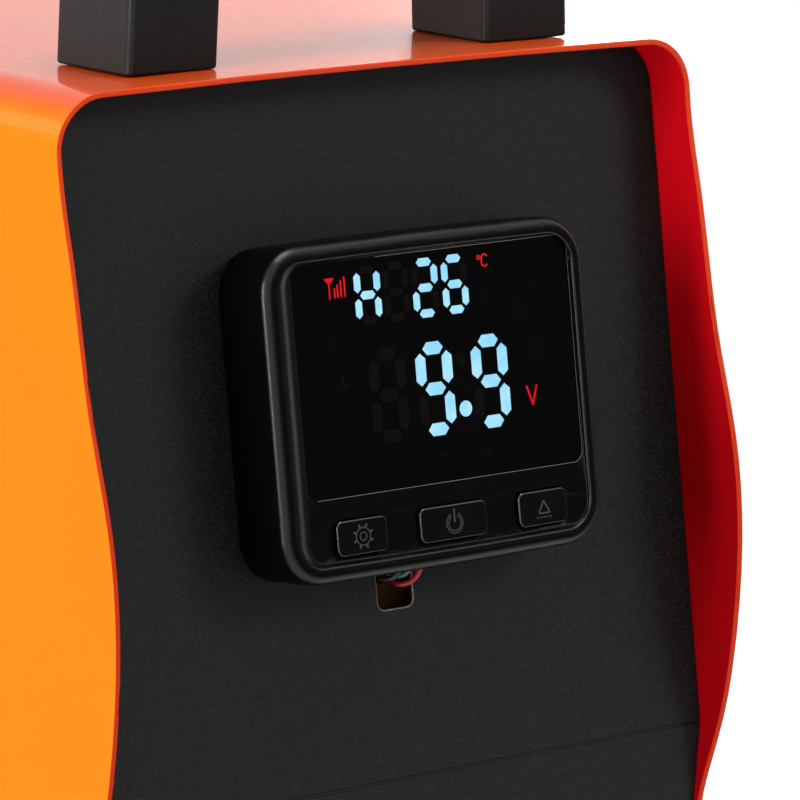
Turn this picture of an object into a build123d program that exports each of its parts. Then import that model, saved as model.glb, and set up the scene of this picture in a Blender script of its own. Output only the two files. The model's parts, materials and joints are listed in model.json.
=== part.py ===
from build123d import *
import os
from math import cos, pi, radians, sin, tan

# Portable diesel air heater, millimetres. +X to the right, +Y to the rear, +Z up.
# The origin is on the floor under the middle of the whole object.
# "Drop" is a distance below the casing's top, "reach" a distance outwards from the
# line where a panel's outer face would meet the casing's top.

# Casing: one bent sheet, open at the front, rear and bottom
WIDTH = 195.0
CASING_TOP = 385.0
FOOT_HEIGHT = 30.0
SHEET = 1.5
CORNER_RADIUS = 13.8
TOP_CROWN = 0.9
FRONT_LINE_Y = -157.45
REAR_LINE_Y = 160.5
MID_Y = (FRONT_LINE_Y + REAR_LINE_Y) / 2
HALF_LINE = (REAR_LINE_Y - FRONT_LINE_Y) / 2
EDGE_PROFILE = [(8, 15.3), (40, 21.0), (75, 28.6), (100, 36.1),
                (130, 39.5), (155, 37.7), (175, 33.6), (195, 27.0)]
EDGE_BLEND_DROP = 215.0
EDGE_PROUD = 1.2

# Front and rear panels: the upper part leans back towards its top, the lower part the other way
UPPER_TILT = 8.6
LOWER_TILT = 5.0
CREASE_DROP = 176.0
CREASE_REACH = CREASE_DROP * tan(radians(UPPER_TILT))
CREASE_RADIUS = 2.5
CREASE_GROOVE = 0.5
PANEL_GAP = 0.25
TRAY_HEIGHT = 18.0
FLANGE = 12.0
TAB_WIDTH = 13.0
FRONT = -1
REAR = 1

# Controller, in the upper front panel's own axes: X right, Y up the panel, Z outwards
CONTROLLER_X = 4.0
CONTROLLER_DROP = 84.45
CONTROLLER_WIDTH = 99.2
CONTROLLER_HEIGHT = 81.9
CONTROLLER_BOW = 0.4
CONTROLLER_CORNER = 11.5
BACK_SHELL_DEPTH = 9.8
FACE_DEPTH = 17.8
RIM_DEPTH = 19.3
RIM_WIDTH = 4.3
RIM_OUTER_ROUND = 3.2
RIM_INNER_ROUND = 0.9
SHELL_WALL = 2.2
FACE_PLATE = 2.5
FACE_X = 6.1
GLASS_WIDTH = 86.0
GLASS_HEIGHT = 56.8
GLASS_THICKNESS = 2.0
GLASS_CORNER = 3.0
GLASS_DROP = 76.8
MODULE_BACK = 9.3
BUTTON_DROP = 114.8
BUTTON_HEIGHT = 8.6
BUTTON_PITCH = 28.2
BUTTON_WIDTHS = {"button_settings": 15.3, "button_power": 20.8, "button_up": 15.3}
BUTTON_PROUD = 1.2
BUTTON_GAP = 0.3
BUTTON_CORNER = 1.8
BUTTON_FLANGE_BACK = 12.3
BUTTON_FLANGE_FRONT = 14.7
PAD_BACK = 9.0
PAD_FRONT = 10.0
DOME_TOP = 11.2
BOARD_BACK = 5.2
BOARD_FRONT = 6.8
POST_OFFSET = (43.0, 34.2)
POST_RADIUS = 4.0
WALL_SCREW_X = 32.0
WALL_POST_TOP = 4.6
SLOT_X = 0.8
SLOT_WIDTH = 10.8
SLOT_TOP_DROP = 112.0
SLOT_BOTTOM_DROP = 136.0
PANEL_SCREW_DROP = 30.5

# Wires, plug and cable: wires in the upper front panel's axes, the cable in world axes
WIRE_RADIUS = 0.7
WIRE_SOCKET_X = (0.8, 9.2)
WIRE_ROUTES = {
    "wire_red": [(7.1, -118.0, 3.6), (7.1, -123.5, 3.6), (6.9, -127.2, 3.2), (5.0, -130.0, 1.6),
                 (2.4, -130.7, -0.8), (3.0, -128.5, -4.5), (2.0, -124.5, -9.0), (0.5, -122.0, -14.0),
                 (0.5, -122.0, -20.0)],
    "wire_green": [(4.8, -118.0, 3.8), (4.8, -122.8, 3.8), (4.5, -125.8, 3.2), (3.0, -128.2, 1.2),
                   (1.6, -128.2, -1.6), (1.0, -126.2, -5.0), (0.0, -123.2, -9.5), (-1.4, -122.0, -14.0),
                   (-1.4, -122.0, -20.0)],
    "wire_black": [(2.6, -118.0, 3.8), (2.6, -121.8, 3.8), (1.8, -125.0, 3.2), (-0.4, -128.4, 1.6),
                   (-2.0, -128.8, -1.4), (-2.6, -127.0, -5.0), (-3.0, -124.0, -9.5), (-3.3, -122.0, -14.2),
                   (-3.3, -122.0, -20.0)],
}
PLUG_CENTRE = (-1.0, -122.0, -28.0)
CABLE_RADIUS = 2.5
HARNESS_ROUTE = [(-1.0, -139.5, 259.0), (-1.0, -127.5, 259.0), (1.0, -116.5, 251.0), (5.0, -111.5, 230.0),
                 (9.0, -113.0, 210.0), (12.5, -114.0, 194.0), (17.5, -104.0, 177.5), (26.0, -68.0, 174.0),
                 (34.0, -22.0, 174.8), (40.0, 20.0, 175.0), (40.0, 57.9, 175.0)]

# Handles: a moulded bail across the top at each end
LEG_WIDTH = 26.7
LEG_DEPTH = 30.3
LEG_GAP = 82.2
LEG_LEAN = 2.5
LEG_SETBACK = 12.7
HANDLE_HEIGHT = 60.0
HAND_ROOM = 33.0
SHOULDER_ROUND = 20.0
GRIP_ROOT_ROUND = 9.0
HANDLE_EDGE_ROUND = 1.8

# Feet
FOOT_BOTTOM_RADIUS = 17.0
FOOT_TOP_RADIUS = 20.0
FOOT_X = 70.0
FOOT_Y = 130.0

# Heater unit, along Y
UNIT_Z = 104.0
UNIT_HALF = 62.0
UNIT_CORNER = 34.0
UNIT_WALL = 2.5
UNIT_END = 128.0
SPIGOT_RADIUS = 37.5
CORE_RADIUS = 36.0
FIN_RADIUS = 54.0
FIN_COUNT = 24
PORT_FACE_Z = 34.5
EXHAUST_Y = -36.0
AIR_Y = 40.0
EXHAUST_RADIUS = 12.0
AIR_RADIUS = 10.0
STUB_END_Z = 8.0
STUD_X = 30.0
SHAFT_RADIUS = 2.5
FAN_BLADES = 7
IMPELLER_BLADES = 12

# Hot air outlet on the lower front panel, air intake on the lower rear panel
OUTLET_BORE = 39.0
LOUVRE_RADIUS = 41.7
LOUVRE_GAP = 0.4
LOUVRE_SLATS = 6
LOUVRE_PITCH = 30.0
INTAKE_RADIUS = 56.0
PORT_DROP = (CASING_TOP - CREASE_DROP - UNIT_Z) / cos(radians(LOWER_TILT))
INLET_PLACE = (72.0, -(CASING_TOP - CREASE_DROP - FOOT_HEIGHT - 29) / cos(radians(LOWER_TILT)))

# Fuel tank, its neck and cap
TANK_HALF_WIDTH = 86.0
TANK_FRONT_Y = -98.0
TANK_REAR_Y = 142.0
TANK_BOTTOM_Z = 185.2
TANK_TOP_Z = 338.0
TANK_WALL = 3.0
TANK_CORNER = 20.0
TANK_EDGE = 8.0
STRAP_Y = (-45, 45)
STRAP_WIDTH = 20.0
STRAP_SHEET = 1.0
NECK_Y = 92.0
NECK_RADIUS = 23.2
NECK_BORE = 19.8
NECK_TOP_Z = 392.0
NECK_HOLE = 27.0
CAP_RADIUS = 30.0
CAP_GRIPS = 16

# Fuel line
HOSE_RADIUS = 2.5
HOSE_BORE = 1.4
NIPPLE_RADIUS = 1.35
PUMP_RADIUS = 13.0
PUMP_LENGTH = 70.0
PUMP_SLOPE = 20.0
PUMP_CENTRE = (79.0, -60.0, 95.0)
PICKUP = (-50.0, -70.0)
FILTER = (-50.0, -130.0)
FILTER_BOTTOM_Z = 240.0
FILTER_LENGTH = 50.0


# ---------------------------------------------------------------- helpers

def block(x0, x1, y0, y1, z0, z1):
    """Box between two corners."""
    return Pos((x0 + x1) / 2, (y0 + y1) / 2, (z0 + z1) / 2) * Box(x1 - x0, y1 - y0, z1 - z0)


def rod_x(radius, x0, x1, y, z):
    """Cylinder along X."""
    return Pos((x0 + x1) / 2, y, z) * Rot(0, 90, 0) * Cylinder(radius, x1 - x0)


def rod_y(radius, x, y0, y1, z):
    """Cylinder along Y."""
    return Pos(x, (y0 + y1) / 2, z) * Rot(90, 0, 0) * Cylinder(radius, y1 - y0)


def rod_z(radius, x, y, z0, z1):
    """Cylinder along Z."""
    return Pos(x, y, (z0 + z1) / 2) * Cylinder(radius, z1 - z0)


def plate(width, height, corner, x, y, z0, z1):
    """Rounded rectangle in the XY plane, between two heights."""
    return Pos(x, y, z0) * extrude(RectangleRounded(width, height, corner), z1 - z0)


def fuse_all(shapes):
    """One shape from many."""
    result = shapes[0]
    for shape in shapes[1:]:
        result = result + shape
    return result


def cut_all(shape, tools):
    """The shape with every tool taken out."""
    for tool in tools:
        shape = shape - tool
    return shape


def upper_plane(side):
    """Axes on a panel's upper part: origin at the casing's top, Z outwards."""
    tilt = radians(UPPER_TILT)
    origin = (0, MID_Y + side * HALF_LINE, CASING_TOP)
    return Plane(origin=origin, x_dir=(-side, 0, 0), z_dir=(0, side * cos(tilt), sin(tilt))).location


def lower_plane(side):
    """Axes on a panel's lower part: origin at the crease, Z outwards."""
    tilt = radians(LOWER_TILT)
    origin = (0, MID_Y + side * (HALF_LINE + CREASE_REACH), CASING_TOP - CREASE_DROP)
    return Plane(origin=origin, x_dir=(-side, 0, 0), z_dir=(0, side * cos(tilt), -sin(tilt))).location


def lower_reach(drop):
    """Reach of a panel's outer face below the crease."""
    return CREASE_REACH - (drop - CREASE_DROP) * tan(radians(LOWER_TILT))


def side_y(side, reach):
    """World Y of a reach at the front or rear."""
    return MID_Y + side * (HALF_LINE + reach)


def soft_route(points):
    """Straight runs joined by tangent arcs as large as the runs allow."""
    radii = []
    for before, corner, after in zip(points, points[1:], points[2:]):
        run_in = Vector(*corner) - Vector(*before)
        run_out = Vector(*after) - Vector(*corner)
        half_turn = radians(run_in.get_angle(run_out) / 2)
        radii.append(0.45 * min(run_in.length, run_out.length) / tan(half_turn))
    return FilletPolyline(*points, radius=radii), radii


def tube_along(name, points, radius, bore=0.0):
    """Tube or solid cord along a soft route, with its radii and volume printed."""
    path, radii = soft_route(points)
    start = Plane(origin=path @ 0, z_dir=path % 0)
    section = Circle(radius)
    area = pi * radius ** 2
    if bore:
        section = section - Circle(bore)
        area = area - pi * bore ** 2
    tube = sweep(start * section, path=path)
    print(name, "length", round(path.length, 1), "radii", [round(r, 1) for r in radii],
          "volume ratio", round(tube.volume / (area * path.length), 4))
    return tube


# ---------------------------------------------------------------- casing and panels

def arch_prism(inset, bottom):
    """The casing's outline from the front, smaller by an inset, as a long prism."""
    half = WIDTH / 2 - inset
    top = CASING_TOP - inset
    shoulder = top - TOP_CROWN
    outline = (Line((-half, bottom), (-half, shoulder))
               + ThreePointArc((-half, shoulder), (0, top), (half, shoulder))
               + Line((half, shoulder), (half, bottom))
               + Line((half, bottom), (-half, bottom)))
    face = make_face(outline)
    face = fillet(face.vertices().sort_by(Axis.Y)[-2:], CORNER_RADIUS - inset)
    return extrude(Plane.XZ * face, 260, both=True)


def edge_curve(side):
    """The casing's wavy front or rear edge, from the top to the floor plate, in Y and Z."""
    points = [(side_y(side, reach), CASING_TOP - drop) for drop, reach in EDGE_PROFILE]
    blend = (side_y(side, lower_reach(EDGE_BLEND_DROP) + EDGE_PROUD), CASING_TOP - EDGE_BLEND_DROP)
    foot_drop = CASING_TOP - FOOT_HEIGHT
    foot = (side_y(side, lower_reach(foot_drop) + EDGE_PROUD), FOOT_HEIGHT)
    top = (points[0][0], CASING_TOP)
    down = (-side * sin(radians(LOWER_TILT)), -cos(radians(LOWER_TILT)))
    wave = Spline(*points, blend, tangents=[(0, -1), down])
    return [Line(top, points[0]), wave, Line(blend, foot)], top, foot


def casing_profile():
    """The casing from the side, as a prism across its whole width."""
    front, front_top, front_foot = edge_curve(FRONT)
    rear, rear_top, rear_foot = edge_curve(REAR)
    outline = fuse_all(front + rear + [Line(front_top, rear_top), Line(front_foot, rear_foot)])
    return extrude(Plane.YZ * make_face(outline), WIDTH, both=True)


def side_vents():
    """Rows of slots through both side walls, low at the rear."""
    slots = []
    for row in range(7):
        slit = extrude(SlotOverall(44, 4, rotation=90), WIDTH, both=True)
        slot = Pos(0, 86, 64 + 9 * row) * Rot(0, 90, 0) * slit
        slots.append(slot)
    return slots


def side_screw_places():
    """Centres in Y and Z of the screws through each side wall."""
    return [(-128, 40), (0, 40), (128, 40), (-70, 178), (100, 178)]


def make_casing():
    """Orange sheet-metal wrap with a wavy front and rear edge."""
    wrap = (arch_prism(0, FOOT_HEIGHT) - arch_prism(SHEET, FOOT_HEIGHT - 1)) & casing_profile()
    wrap = cut_all(wrap, side_vents())
    wrap = wrap - rod_z(NECK_HOLE, 0, NECK_Y, CASING_TOP - 8, CASING_TOP + 1)
    for x, y in handle_screw_places():
        wrap = wrap - rod_z(2.75, x, y, CASING_TOP - 8, CASING_TOP + 1)
    for y, z in side_screw_places():
        wrap = wrap - rod_x(2.6, -WIDTH / 2 - 1, WIDTH / 2 + 1, y, z)
    for side in (FRONT, REAR):
        for x, y in panel_screw_places(side)[:2]:
            inner = -SHEET - PANEL_GAP
            tab_x = (WIDTH / 2 - SHEET - TAB_WIDTH / 2) * x / abs(x)
            tab = Pos(tab_x, y - 3.5, inner - SHEET / 2) * Box(TAB_WIDTH + 0.4, 13, SHEET)
            wrap = wrap + lower_plane(side) * (tab - Pos(x, y, inner) * Cylinder(1.4, 8))
    return wrap


def panel_sheet(side):
    """Panel creased along a scored line, with side flanges, before its openings."""
    bottom_drop = CASING_TOP - FOOT_HEIGHT - 0.2
    upper_shift = SHEET / cos(radians(UPPER_TILT))
    lower_shift = SHEET / cos(radians(LOWER_TILT))
    outer = [(side_y(side, 0), CASING_TOP), (side_y(side, CREASE_REACH), CASING_TOP - CREASE_DROP),
             (side_y(side, lower_reach(bottom_drop)), CASING_TOP - bottom_drop)]
    inner = [(side_y(side, lower_reach(bottom_drop) - lower_shift), CASING_TOP - bottom_drop),
             (side_y(side, CREASE_REACH - upper_shift), CASING_TOP - CREASE_DROP),
             (side_y(side, -upper_shift), CASING_TOP)]
    face = make_face(Polyline(*outer, *inner, close=True))
    crease_z = CASING_TOP - CREASE_DROP
    bends = [v for v in face.vertices() if abs(v.Y - crease_z) < 0.01]
    face = fillet(bends, CREASE_RADIUS)
    sheet = extrude(Plane.YZ * face, WIDTH, both=True)
    sheet = sheet - rod_x(CREASE_GROOVE, -WIDTH, WIDTH, side_y(side, CREASE_REACH), crease_z)
    turned = [(y - side * FLANGE, z) for y, z in inner]
    flange_face = make_face(Polyline(*inner, *reversed(turned), close=True))
    flange_x = WIDTH / 2 - SHEET - PANEL_GAP
    sides = extrude(Plane.YZ * flange_face, WIDTH, both=True)
    sides = sides - block(-flange_x + SHEET, flange_x - SHEET, -260, 260, 0, CASING_TOP + 1)
    low_enough = CASING_TOP - CORNER_RADIUS - 8
    sides = sides & block(-flange_x, flange_x, -260, 260, FOOT_HEIGHT + 22, low_enough)
    tab_z = CASING_TOP - CREASE_DROP - PANEL_SCREW_DROP - 1.5
    sides = sides - block(-WIDTH, WIDTH, -260, 260, tab_z - 10, tab_z + 10)
    return (sheet & arch_prism(SHEET + PANEL_GAP, FOOT_HEIGHT)) + sides


def panel_screw_places(side):
    """Places of a panel's own screws in its lower plane's axes."""
    low = -(CASING_TOP - CREASE_DROP - FOOT_HEIGHT - 12) / cos(radians(LOWER_TILT))
    return [(-90.5, -PANEL_SCREW_DROP), (90.5, -PANEL_SCREW_DROP), (-80, low), (80, low)]


def outlet_screw_places():
    """Places of the outlet ring's screws in the lower front plane's axes."""
    return [(x, y - PORT_DROP) for x in (-43, 43) for y in (-43, 43)]


def make_front_panel():
    """Black front panel with the wire slot and the outlet hole."""
    panel = panel_sheet(FRONT)
    slot_middle = (SLOT_TOP_DROP + SLOT_BOTTOM_DROP) / 2
    slot = plate(SLOT_WIDTH, SLOT_BOTTOM_DROP - SLOT_TOP_DROP, 2.0, SLOT_X, -slot_middle, -4, 4)
    mounts = [Pos(x, -CONTROLLER_DROP, 0) * Cylinder(1.7, 8) for x in wall_screw_places()]
    panel = cut_all(panel, [upper_plane(FRONT) * tool for tool in [slot] + mounts])
    holes = [Pos(0, -PORT_DROP, 0) * Cylinder(42.0, 12)]
    holes += [Pos(x, y, 0) * Cylinder(1.4, 8) for x, y in panel_screw_places(FRONT) + outlet_screw_places()]
    return cut_all(panel, [lower_plane(FRONT) * tool for tool in holes])


def make_rear_panel():
    """Black rear panel with vents above and the intake hole below."""
    panel = panel_sheet(REAR)
    vents = []
    for row in range(6):
        vents.append(Pos(0, -70 - 11 * row, 0) * extrude(SlotOverall(90, 4.5), 4, both=True))
    panel = cut_all(panel, [upper_plane(REAR) * tool for tool in vents])
    holes = [Pos(0, -PORT_DROP, 0) * Cylinder(INTAKE_RADIUS - 4, 12)]
    holes += [Pos(x, y, 0) * Cylinder(1.4, 8) for x, y in panel_screw_places(REAR) + intake_screw_places()]
    holes.append(inlet_cutout())
    return cut_all(panel, [lower_plane(REAR) * tool for tool in holes])


def make_base_tray():
    """Floor plate with turned-up flanges, ports and fixing holes."""
    half_x = WIDTH / 2 - SHEET - 0.3
    half_y = HALF_LINE + lower_reach(CASING_TOP - FOOT_HEIGHT) - SHEET - 1.0
    top = FOOT_HEIGHT + TRAY_HEIGHT
    tray = block(-half_x, half_x, MID_Y - half_y, MID_Y + half_y, FOOT_HEIGHT, top)
    tray = tray - block(-half_x + SHEET, half_x - SHEET, MID_Y - half_y + SHEET, MID_Y + half_y - SHEET,
                        FOOT_HEIGHT + SHEET, top + 1)
    holes = [rod_z(EXHAUST_RADIUS + 1.5, 0, EXHAUST_Y, 20, 40), rod_z(AIR_RADIUS + 1.5, 0, AIR_Y, 20, 40)]
    holes += [rod_z(3.2, x, y, 20, 40) for x, y in stud_places() + foot_places()]
    holes += [rod_x(2.1, -WIDTH / 2, WIDTH / 2, y, z) for y, z in side_screw_places()[:3]]
    low = FOOT_HEIGHT + 12
    holes += [rod_y(2.2, x, -220, 220, low) for x in (-80, 80)]
    return cut_all(tray, holes)


def make_tank_shelf():
    """Shelf under the tank with flanges turned down along the side walls."""
    half_x = WIDTH / 2 - SHEET - 0.3
    top = TANK_BOTTOM_Z - 0.2
    shelf = block(-half_x, half_x, TANK_FRONT_Y, TANK_REAR_Y, top - 14, top)
    shelf = shelf - block(-half_x + SHEET, half_x - SHEET, TANK_FRONT_Y - 1, TANK_REAR_Y + 1,
                          top - 15, top - SHEET)
    return cut_all(shelf, [rod_x(2.1, -WIDTH / 2, WIDTH / 2, y, z) for y, z in side_screw_places()[3:]])


# ---------------------------------------------------------------- feet, handles, outside screws

def foot_places():
    """Centres of the four feet."""
    return [(x, y) for x in (-FOOT_X, FOOT_X) for y in (-FOOT_Y, FOOT_Y)]


def make_rubber_feet():
    """Four tapered rubber feet, each with a counterbore for its screw."""
    feet = []
    for x, y in foot_places():
        body = Pos(x, y, FOOT_HEIGHT / 2) * Cone(FOOT_BOTTOM_RADIUS, FOOT_TOP_RADIUS, FOOT_HEIGHT)
        body = fillet(body.edges().filter_by(GeomType.CIRCLE).sort_by(Axis.Z)[0], 2.0)
        feet.append(body - rod_z(7, x, y, -1, 12) - rod_z(3.1, x, y, 0, 31))
    return Compound(children=feet)


def cap_screw(head_radius, head_height, shank_radius, length):
    """Screw pointing down local -Z, its head above z = 0, with a socket."""
    head = Pos(0, 0, head_height / 2) * Cylinder(head_radius, head_height)
    head = chamfer(head.edges().filter_by(GeomType.CIRCLE).sort_by(Axis.Z)[-1], head_height * 0.35)
    hexagon = RegularPolygon(head_radius * 0.45, 6)
    socket = Pos(0, 0, head_height) * extrude(hexagon, head_height * 0.5, both=True)
    return head - socket + Pos(0, 0, -length / 2) * Cylinder(shank_radius, length)


def make_foot_screws():
    """One screw up through each foot and the floor plate."""
    screw = Rot(180, 0, 0) * cap_screw(6, 4, 3, 26)
    return Compound(children=[Pos(x, y, 12) * screw for x, y in foot_places()])


def make_casing_screws():
    """Screws through the side walls into the tray and the shelf."""
    screws = []
    for y, z in side_screw_places():
        screws.append(Pos(WIDTH / 2, y, z) * Rot(0, 90, 0) * cap_screw(4.5, 2.4, 2.0, 9))
        screws.append(Pos(-WIDTH / 2, y, z) * Rot(0, -90, 0) * cap_screw(4.5, 2.4, 2.0, 9))
    return Compound(children=screws)


def make_panel_screws():
    """Small black screws in both panels, the outlet ring and the intake grille."""
    small = cap_screw(2.4, 1.4, 1.3, 6)
    screws = []
    for side in (FRONT, REAR):
        screws += [lower_plane(side) * Pos(x, y, 0) * small for x, y in panel_screw_places(side)]
    screws += [lower_plane(FRONT) * Pos(x, y, 3) * small for x, y in outlet_screw_places()]
    screws += [lower_plane(REAR) * Pos(x, y, 3) * small for x, y in intake_screw_places()]
    return Compound(children=screws)


def handle_y(side):
    """Middle of a handle's leg, in Y."""
    front_face = side_y(side, EDGE_PROFILE[0][1] - LEG_SETBACK)
    return front_face - side * LEG_DEPTH / 2


def handle_screw_places():
    """Centres of the screws that hold both handles, in X and Y."""
    leg_x = (LEG_GAP + LEG_WIDTH) / 2
    return [(x, handle_y(side) - side * dy)
            for side in (FRONT, REAR) for x in (-leg_x, leg_x) for dy in (-4, 9)]


def make_handle(side):
    """Bail handle: two leaning square legs and a grip bar with finger waves below."""
    lean = tan(radians(LEG_LEAN))
    outer = LEG_GAP / 2 + LEG_WIDTH
    inner = LEG_GAP / 2
    top = HANDLE_HEIGHT
    face = make_face(Polyline((-outer, 0), (-outer + top * lean, top), (outer - top * lean, top), (outer, 0),
                              (inner, 0), (inner - HAND_ROOM * lean, HAND_ROOM),
                              (-inner + HAND_ROOM * lean, HAND_ROOM), (-inner, 0), close=True))
    face = fillet([v for v in face.vertices() if abs(v.Y - top) < 0.1], SHOULDER_ROUND)
    face = fillet([v for v in face.vertices() if abs(v.Y - HAND_ROOM) < 0.1], GRIP_ROOT_ROUND)
    bail = extrude(Plane.XZ * face, LEG_DEPTH / 2, both=True)
    long_edges = [e for e in bail.edges()
                  if abs(abs(e.center().Y) - LEG_DEPTH / 2) < 0.01 and e.center().Z > 0.5]
    bail = fillet(long_edges, HANDLE_EDGE_ROUND)
    bail = Pos(0, handle_y(side), CASING_TOP - 0.1) * bail
    holes = [rod_z(2.5, x, y, CASING_TOP - 1, CASING_TOP + 16) for x, y in handle_screw_places()]
    return cut_all(bail, holes)


def make_handle_screws():
    """Screws from inside the casing's top up into the handles' legs."""
    under = CASING_TOP - SHEET - 0.45
    screw = Rot(180, 0, 0) * cap_screw(4.8, 3.2, 2.4, 16)
    return Compound(children=[Pos(x, y, under) * screw for x, y in handle_screw_places()])


# ---------------------------------------------------------------- controller

def controller_outline(inset):
    """Rounded rectangle whose top and bottom edges bow outwards."""
    half_w = CONTROLLER_WIDTH / 2 - inset
    half_h = CONTROLLER_HEIGHT / 2 - inset
    shoulder = half_h - CONTROLLER_BOW
    outline = (Line((-half_w, -shoulder), (-half_w, shoulder))
               + ThreePointArc((-half_w, shoulder), (0, half_h), (half_w, shoulder))
               + Line((half_w, shoulder), (half_w, -shoulder))
               + ThreePointArc((half_w, -shoulder), (0, -half_h), (-half_w, -shoulder)))
    face = make_face(outline)
    return fillet(face.vertices(), max(CONTROLLER_CORNER - inset, 2.0))


def controller_slab(inset, z0, z1):
    """The controller's outline between two depths, in the panel's axes."""
    return Pos(CONTROLLER_X, -CONTROLLER_DROP, z0) * extrude(controller_outline(inset), z1 - z0)


def controller_posts():
    """Centres of the four screw posts in the controller's corners."""
    dx, dy = POST_OFFSET
    return [(CONTROLLER_X + x, -CONTROLLER_DROP + y) for x in (-dx, dx) for y in (-dy, dy)]


def wall_screw_places():
    """X of the two screws that hold the controller to the panel."""
    return [CONTROLLER_X - WALL_SCREW_X, CONTROLLER_X + WALL_SCREW_X]


def button_places():
    """X of the three buttons' centres."""
    return [FACE_X + number * BUTTON_PITCH for number in (-1, 0, 1)]


def place(shape):
    """Set a shape from the upper front panel's axes into the world."""
    return upper_plane(FRONT) * shape


def make_controller_back():
    """Back shell against the panel, open to the front, with a notch for the wires."""
    shell = controller_slab(0.25, 0, BACK_SHELL_DEPTH)
    shell = fillet(shell.edges().group_by(Axis.Z)[0], 1.0)
    shell = shell - controller_slab(SHELL_WALL + 0.25, 2.0, BACK_SHELL_DEPTH + 1)
    posts = [Pos(x, y, 0.5) * extrude(Circle(POST_RADIUS), BACK_SHELL_DEPTH - 0.7)
             for x, y in controller_posts()]
    for x in wall_screw_places():
        posts.append(Pos(x, -CONTROLLER_DROP, 0.5) * extrude(Circle(POST_RADIUS), WALL_POST_TOP - 0.5))
    shell = fuse_all([shell] + posts)
    holes = [Pos(x, y, 0) * Cylinder(1.3, 24) for x, y in controller_posts()]
    holes += [Pos(x, y, 0) * Cylinder(2.8, 4) for x, y in controller_posts()]
    holes += [Pos(x, -CONTROLLER_DROP, 0) * Cylinder(1.3, 12) for x in wall_screw_places()]
    notch_y = -CONTROLLER_DROP - CONTROLLER_HEIGHT / 2
    holes.append(block(WIRE_SOCKET_X[0] - 0.6, WIRE_SOCKET_X[1] + 0.6, notch_y - 2, notch_y + 6, 1.6, 6.0))
    return place(cut_all(shell, holes))


def make_controller_bezel():
    """Front shell with a raised rounded rim, a window and three button holes."""
    shell = controller_slab(0, BACK_SHELL_DEPTH, RIM_DEPTH)
    shell = fillet(shell.edges().group_by(Axis.Z)[-1], RIM_OUTER_ROUND)
    shell = shell - controller_slab(RIM_WIDTH, FACE_DEPTH, RIM_DEPTH + 1)
    rim_top = shell.faces().filter_by(Axis.Z).sort_by(Axis.Z)[-1]
    shell = shell.fillet(RIM_INNER_ROUND, rim_top.inner_wires()[0].edges())
    shell = shell - controller_slab(SHELL_WALL, BACK_SHELL_DEPTH - 1, FACE_DEPTH - FACE_PLATE)
    post_foot = BACK_SHELL_DEPTH + 0.3
    posts = [Pos(x, y, post_foot) * extrude(Circle(POST_RADIUS - 0.5), FACE_DEPTH - 1 - post_foot)
             for x, y in controller_posts()]
    shell = fuse_all([shell] + posts)
    holes = [Pos(x, y, BACK_SHELL_DEPTH) * extrude(Circle(1.2), 6) for x, y in controller_posts()]
    holes.append(plate(GLASS_WIDTH + 0.2, GLASS_HEIGHT + 0.2, GLASS_CORNER + 0.1, FACE_X, -GLASS_DROP,
                       BACK_SHELL_DEPTH, FACE_DEPTH + 1))
    for x, width in zip(button_places(), BUTTON_WIDTHS.values()):
        gap = 2 * BUTTON_GAP
        corner = BUTTON_CORNER + BUTTON_GAP
        holes.append(plate(width + gap, BUTTON_HEIGHT + gap, corner, x, -BUTTON_DROP, 15, FACE_DEPTH + 1))
    return place(cut_all(shell, holes))


def make_display_glass():
    """Black window glass, flush with the controller's face."""
    back = FACE_DEPTH - GLASS_THICKNESS
    return place(plate(GLASS_WIDTH, GLASS_HEIGHT, GLASS_CORNER, FACE_X, -GLASS_DROP, back, FACE_DEPTH))


def make_display_module():
    """Segment display behind the glass, with two rows of pins to the board."""
    middle = FACE_X - 1
    body = plate(76, 50, 1.0, middle, -GLASS_DROP, MODULE_BACK, FACE_DEPTH - GLASS_THICKNESS)
    pins = [block(middle - 34, middle + 34, y - 0.5, y + 0.5, BOARD_FRONT, MODULE_BACK)
            for y in (-GLASS_DROP - 23, -GLASS_DROP + 23)]
    return place(fuse_all([body] + pins))


def make_controller_board():
    """Circuit board with its main parts, three switches and the socket for the wires."""
    x0 = CONTROLLER_X
    board = plate(76, 74, 2.0, x0, -CONTROLLER_DROP, BOARD_BACK, BOARD_FRONT)
    chips = [block(x0 - 12, x0 + 2, -96, -84, BOARD_BACK - 1.8, BOARD_BACK),
             block(x0 - 26, x0 - 16, -78, -66, BOARD_BACK - 2.4, BOARD_BACK),
             block(x0 + 16, x0 + 26, -78, -70, BOARD_BACK - 2.0, BOARD_BACK),
             block(*WIRE_SOCKET_X, -118, -112, BOARD_BACK - 2.6, BOARD_BACK)]
    switches = [block(x - 3, x + 3, -BUTTON_DROP - 3, -BUTTON_DROP + 3, BOARD_FRONT, PAD_BACK - 0.1)
                for x in button_places()]
    return place(fuse_all([board] + chips + switches))


def make_button(name):
    """Rectangular button with a retaining flange behind the face plate."""
    width = BUTTON_WIDTHS[name]
    x = button_places()[list(BUTTON_WIDTHS).index(name)]
    top = FACE_DEPTH + BUTTON_PROUD
    cap = plate(width, BUTTON_HEIGHT, BUTTON_CORNER, x, -BUTTON_DROP, BUTTON_FLANGE_BACK + 0.6, top)
    cap = fillet(cap.edges().group_by(Axis.Z)[-1], 0.5)
    flange = plate(width + 2.4, BUTTON_HEIGHT + 1.6, BUTTON_CORNER, x, -BUTTON_DROP,
                   BUTTON_FLANGE_BACK, BUTTON_FLANGE_FRONT)
    return place(cap + flange)


def make_button_pad():
    """Rubber pad with one dome under each button."""
    pad = plate(70, 11, 2.0, FACE_X, -BUTTON_DROP, PAD_BACK, PAD_FRONT)
    height = DOME_TOP - PAD_FRONT + 0.1
    domes = [Pos(x, -BUTTON_DROP, DOME_TOP - height / 2) * Cone(4.0, 2.5, height) for x in button_places()]
    return place(fuse_all([pad] + domes))


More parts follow.
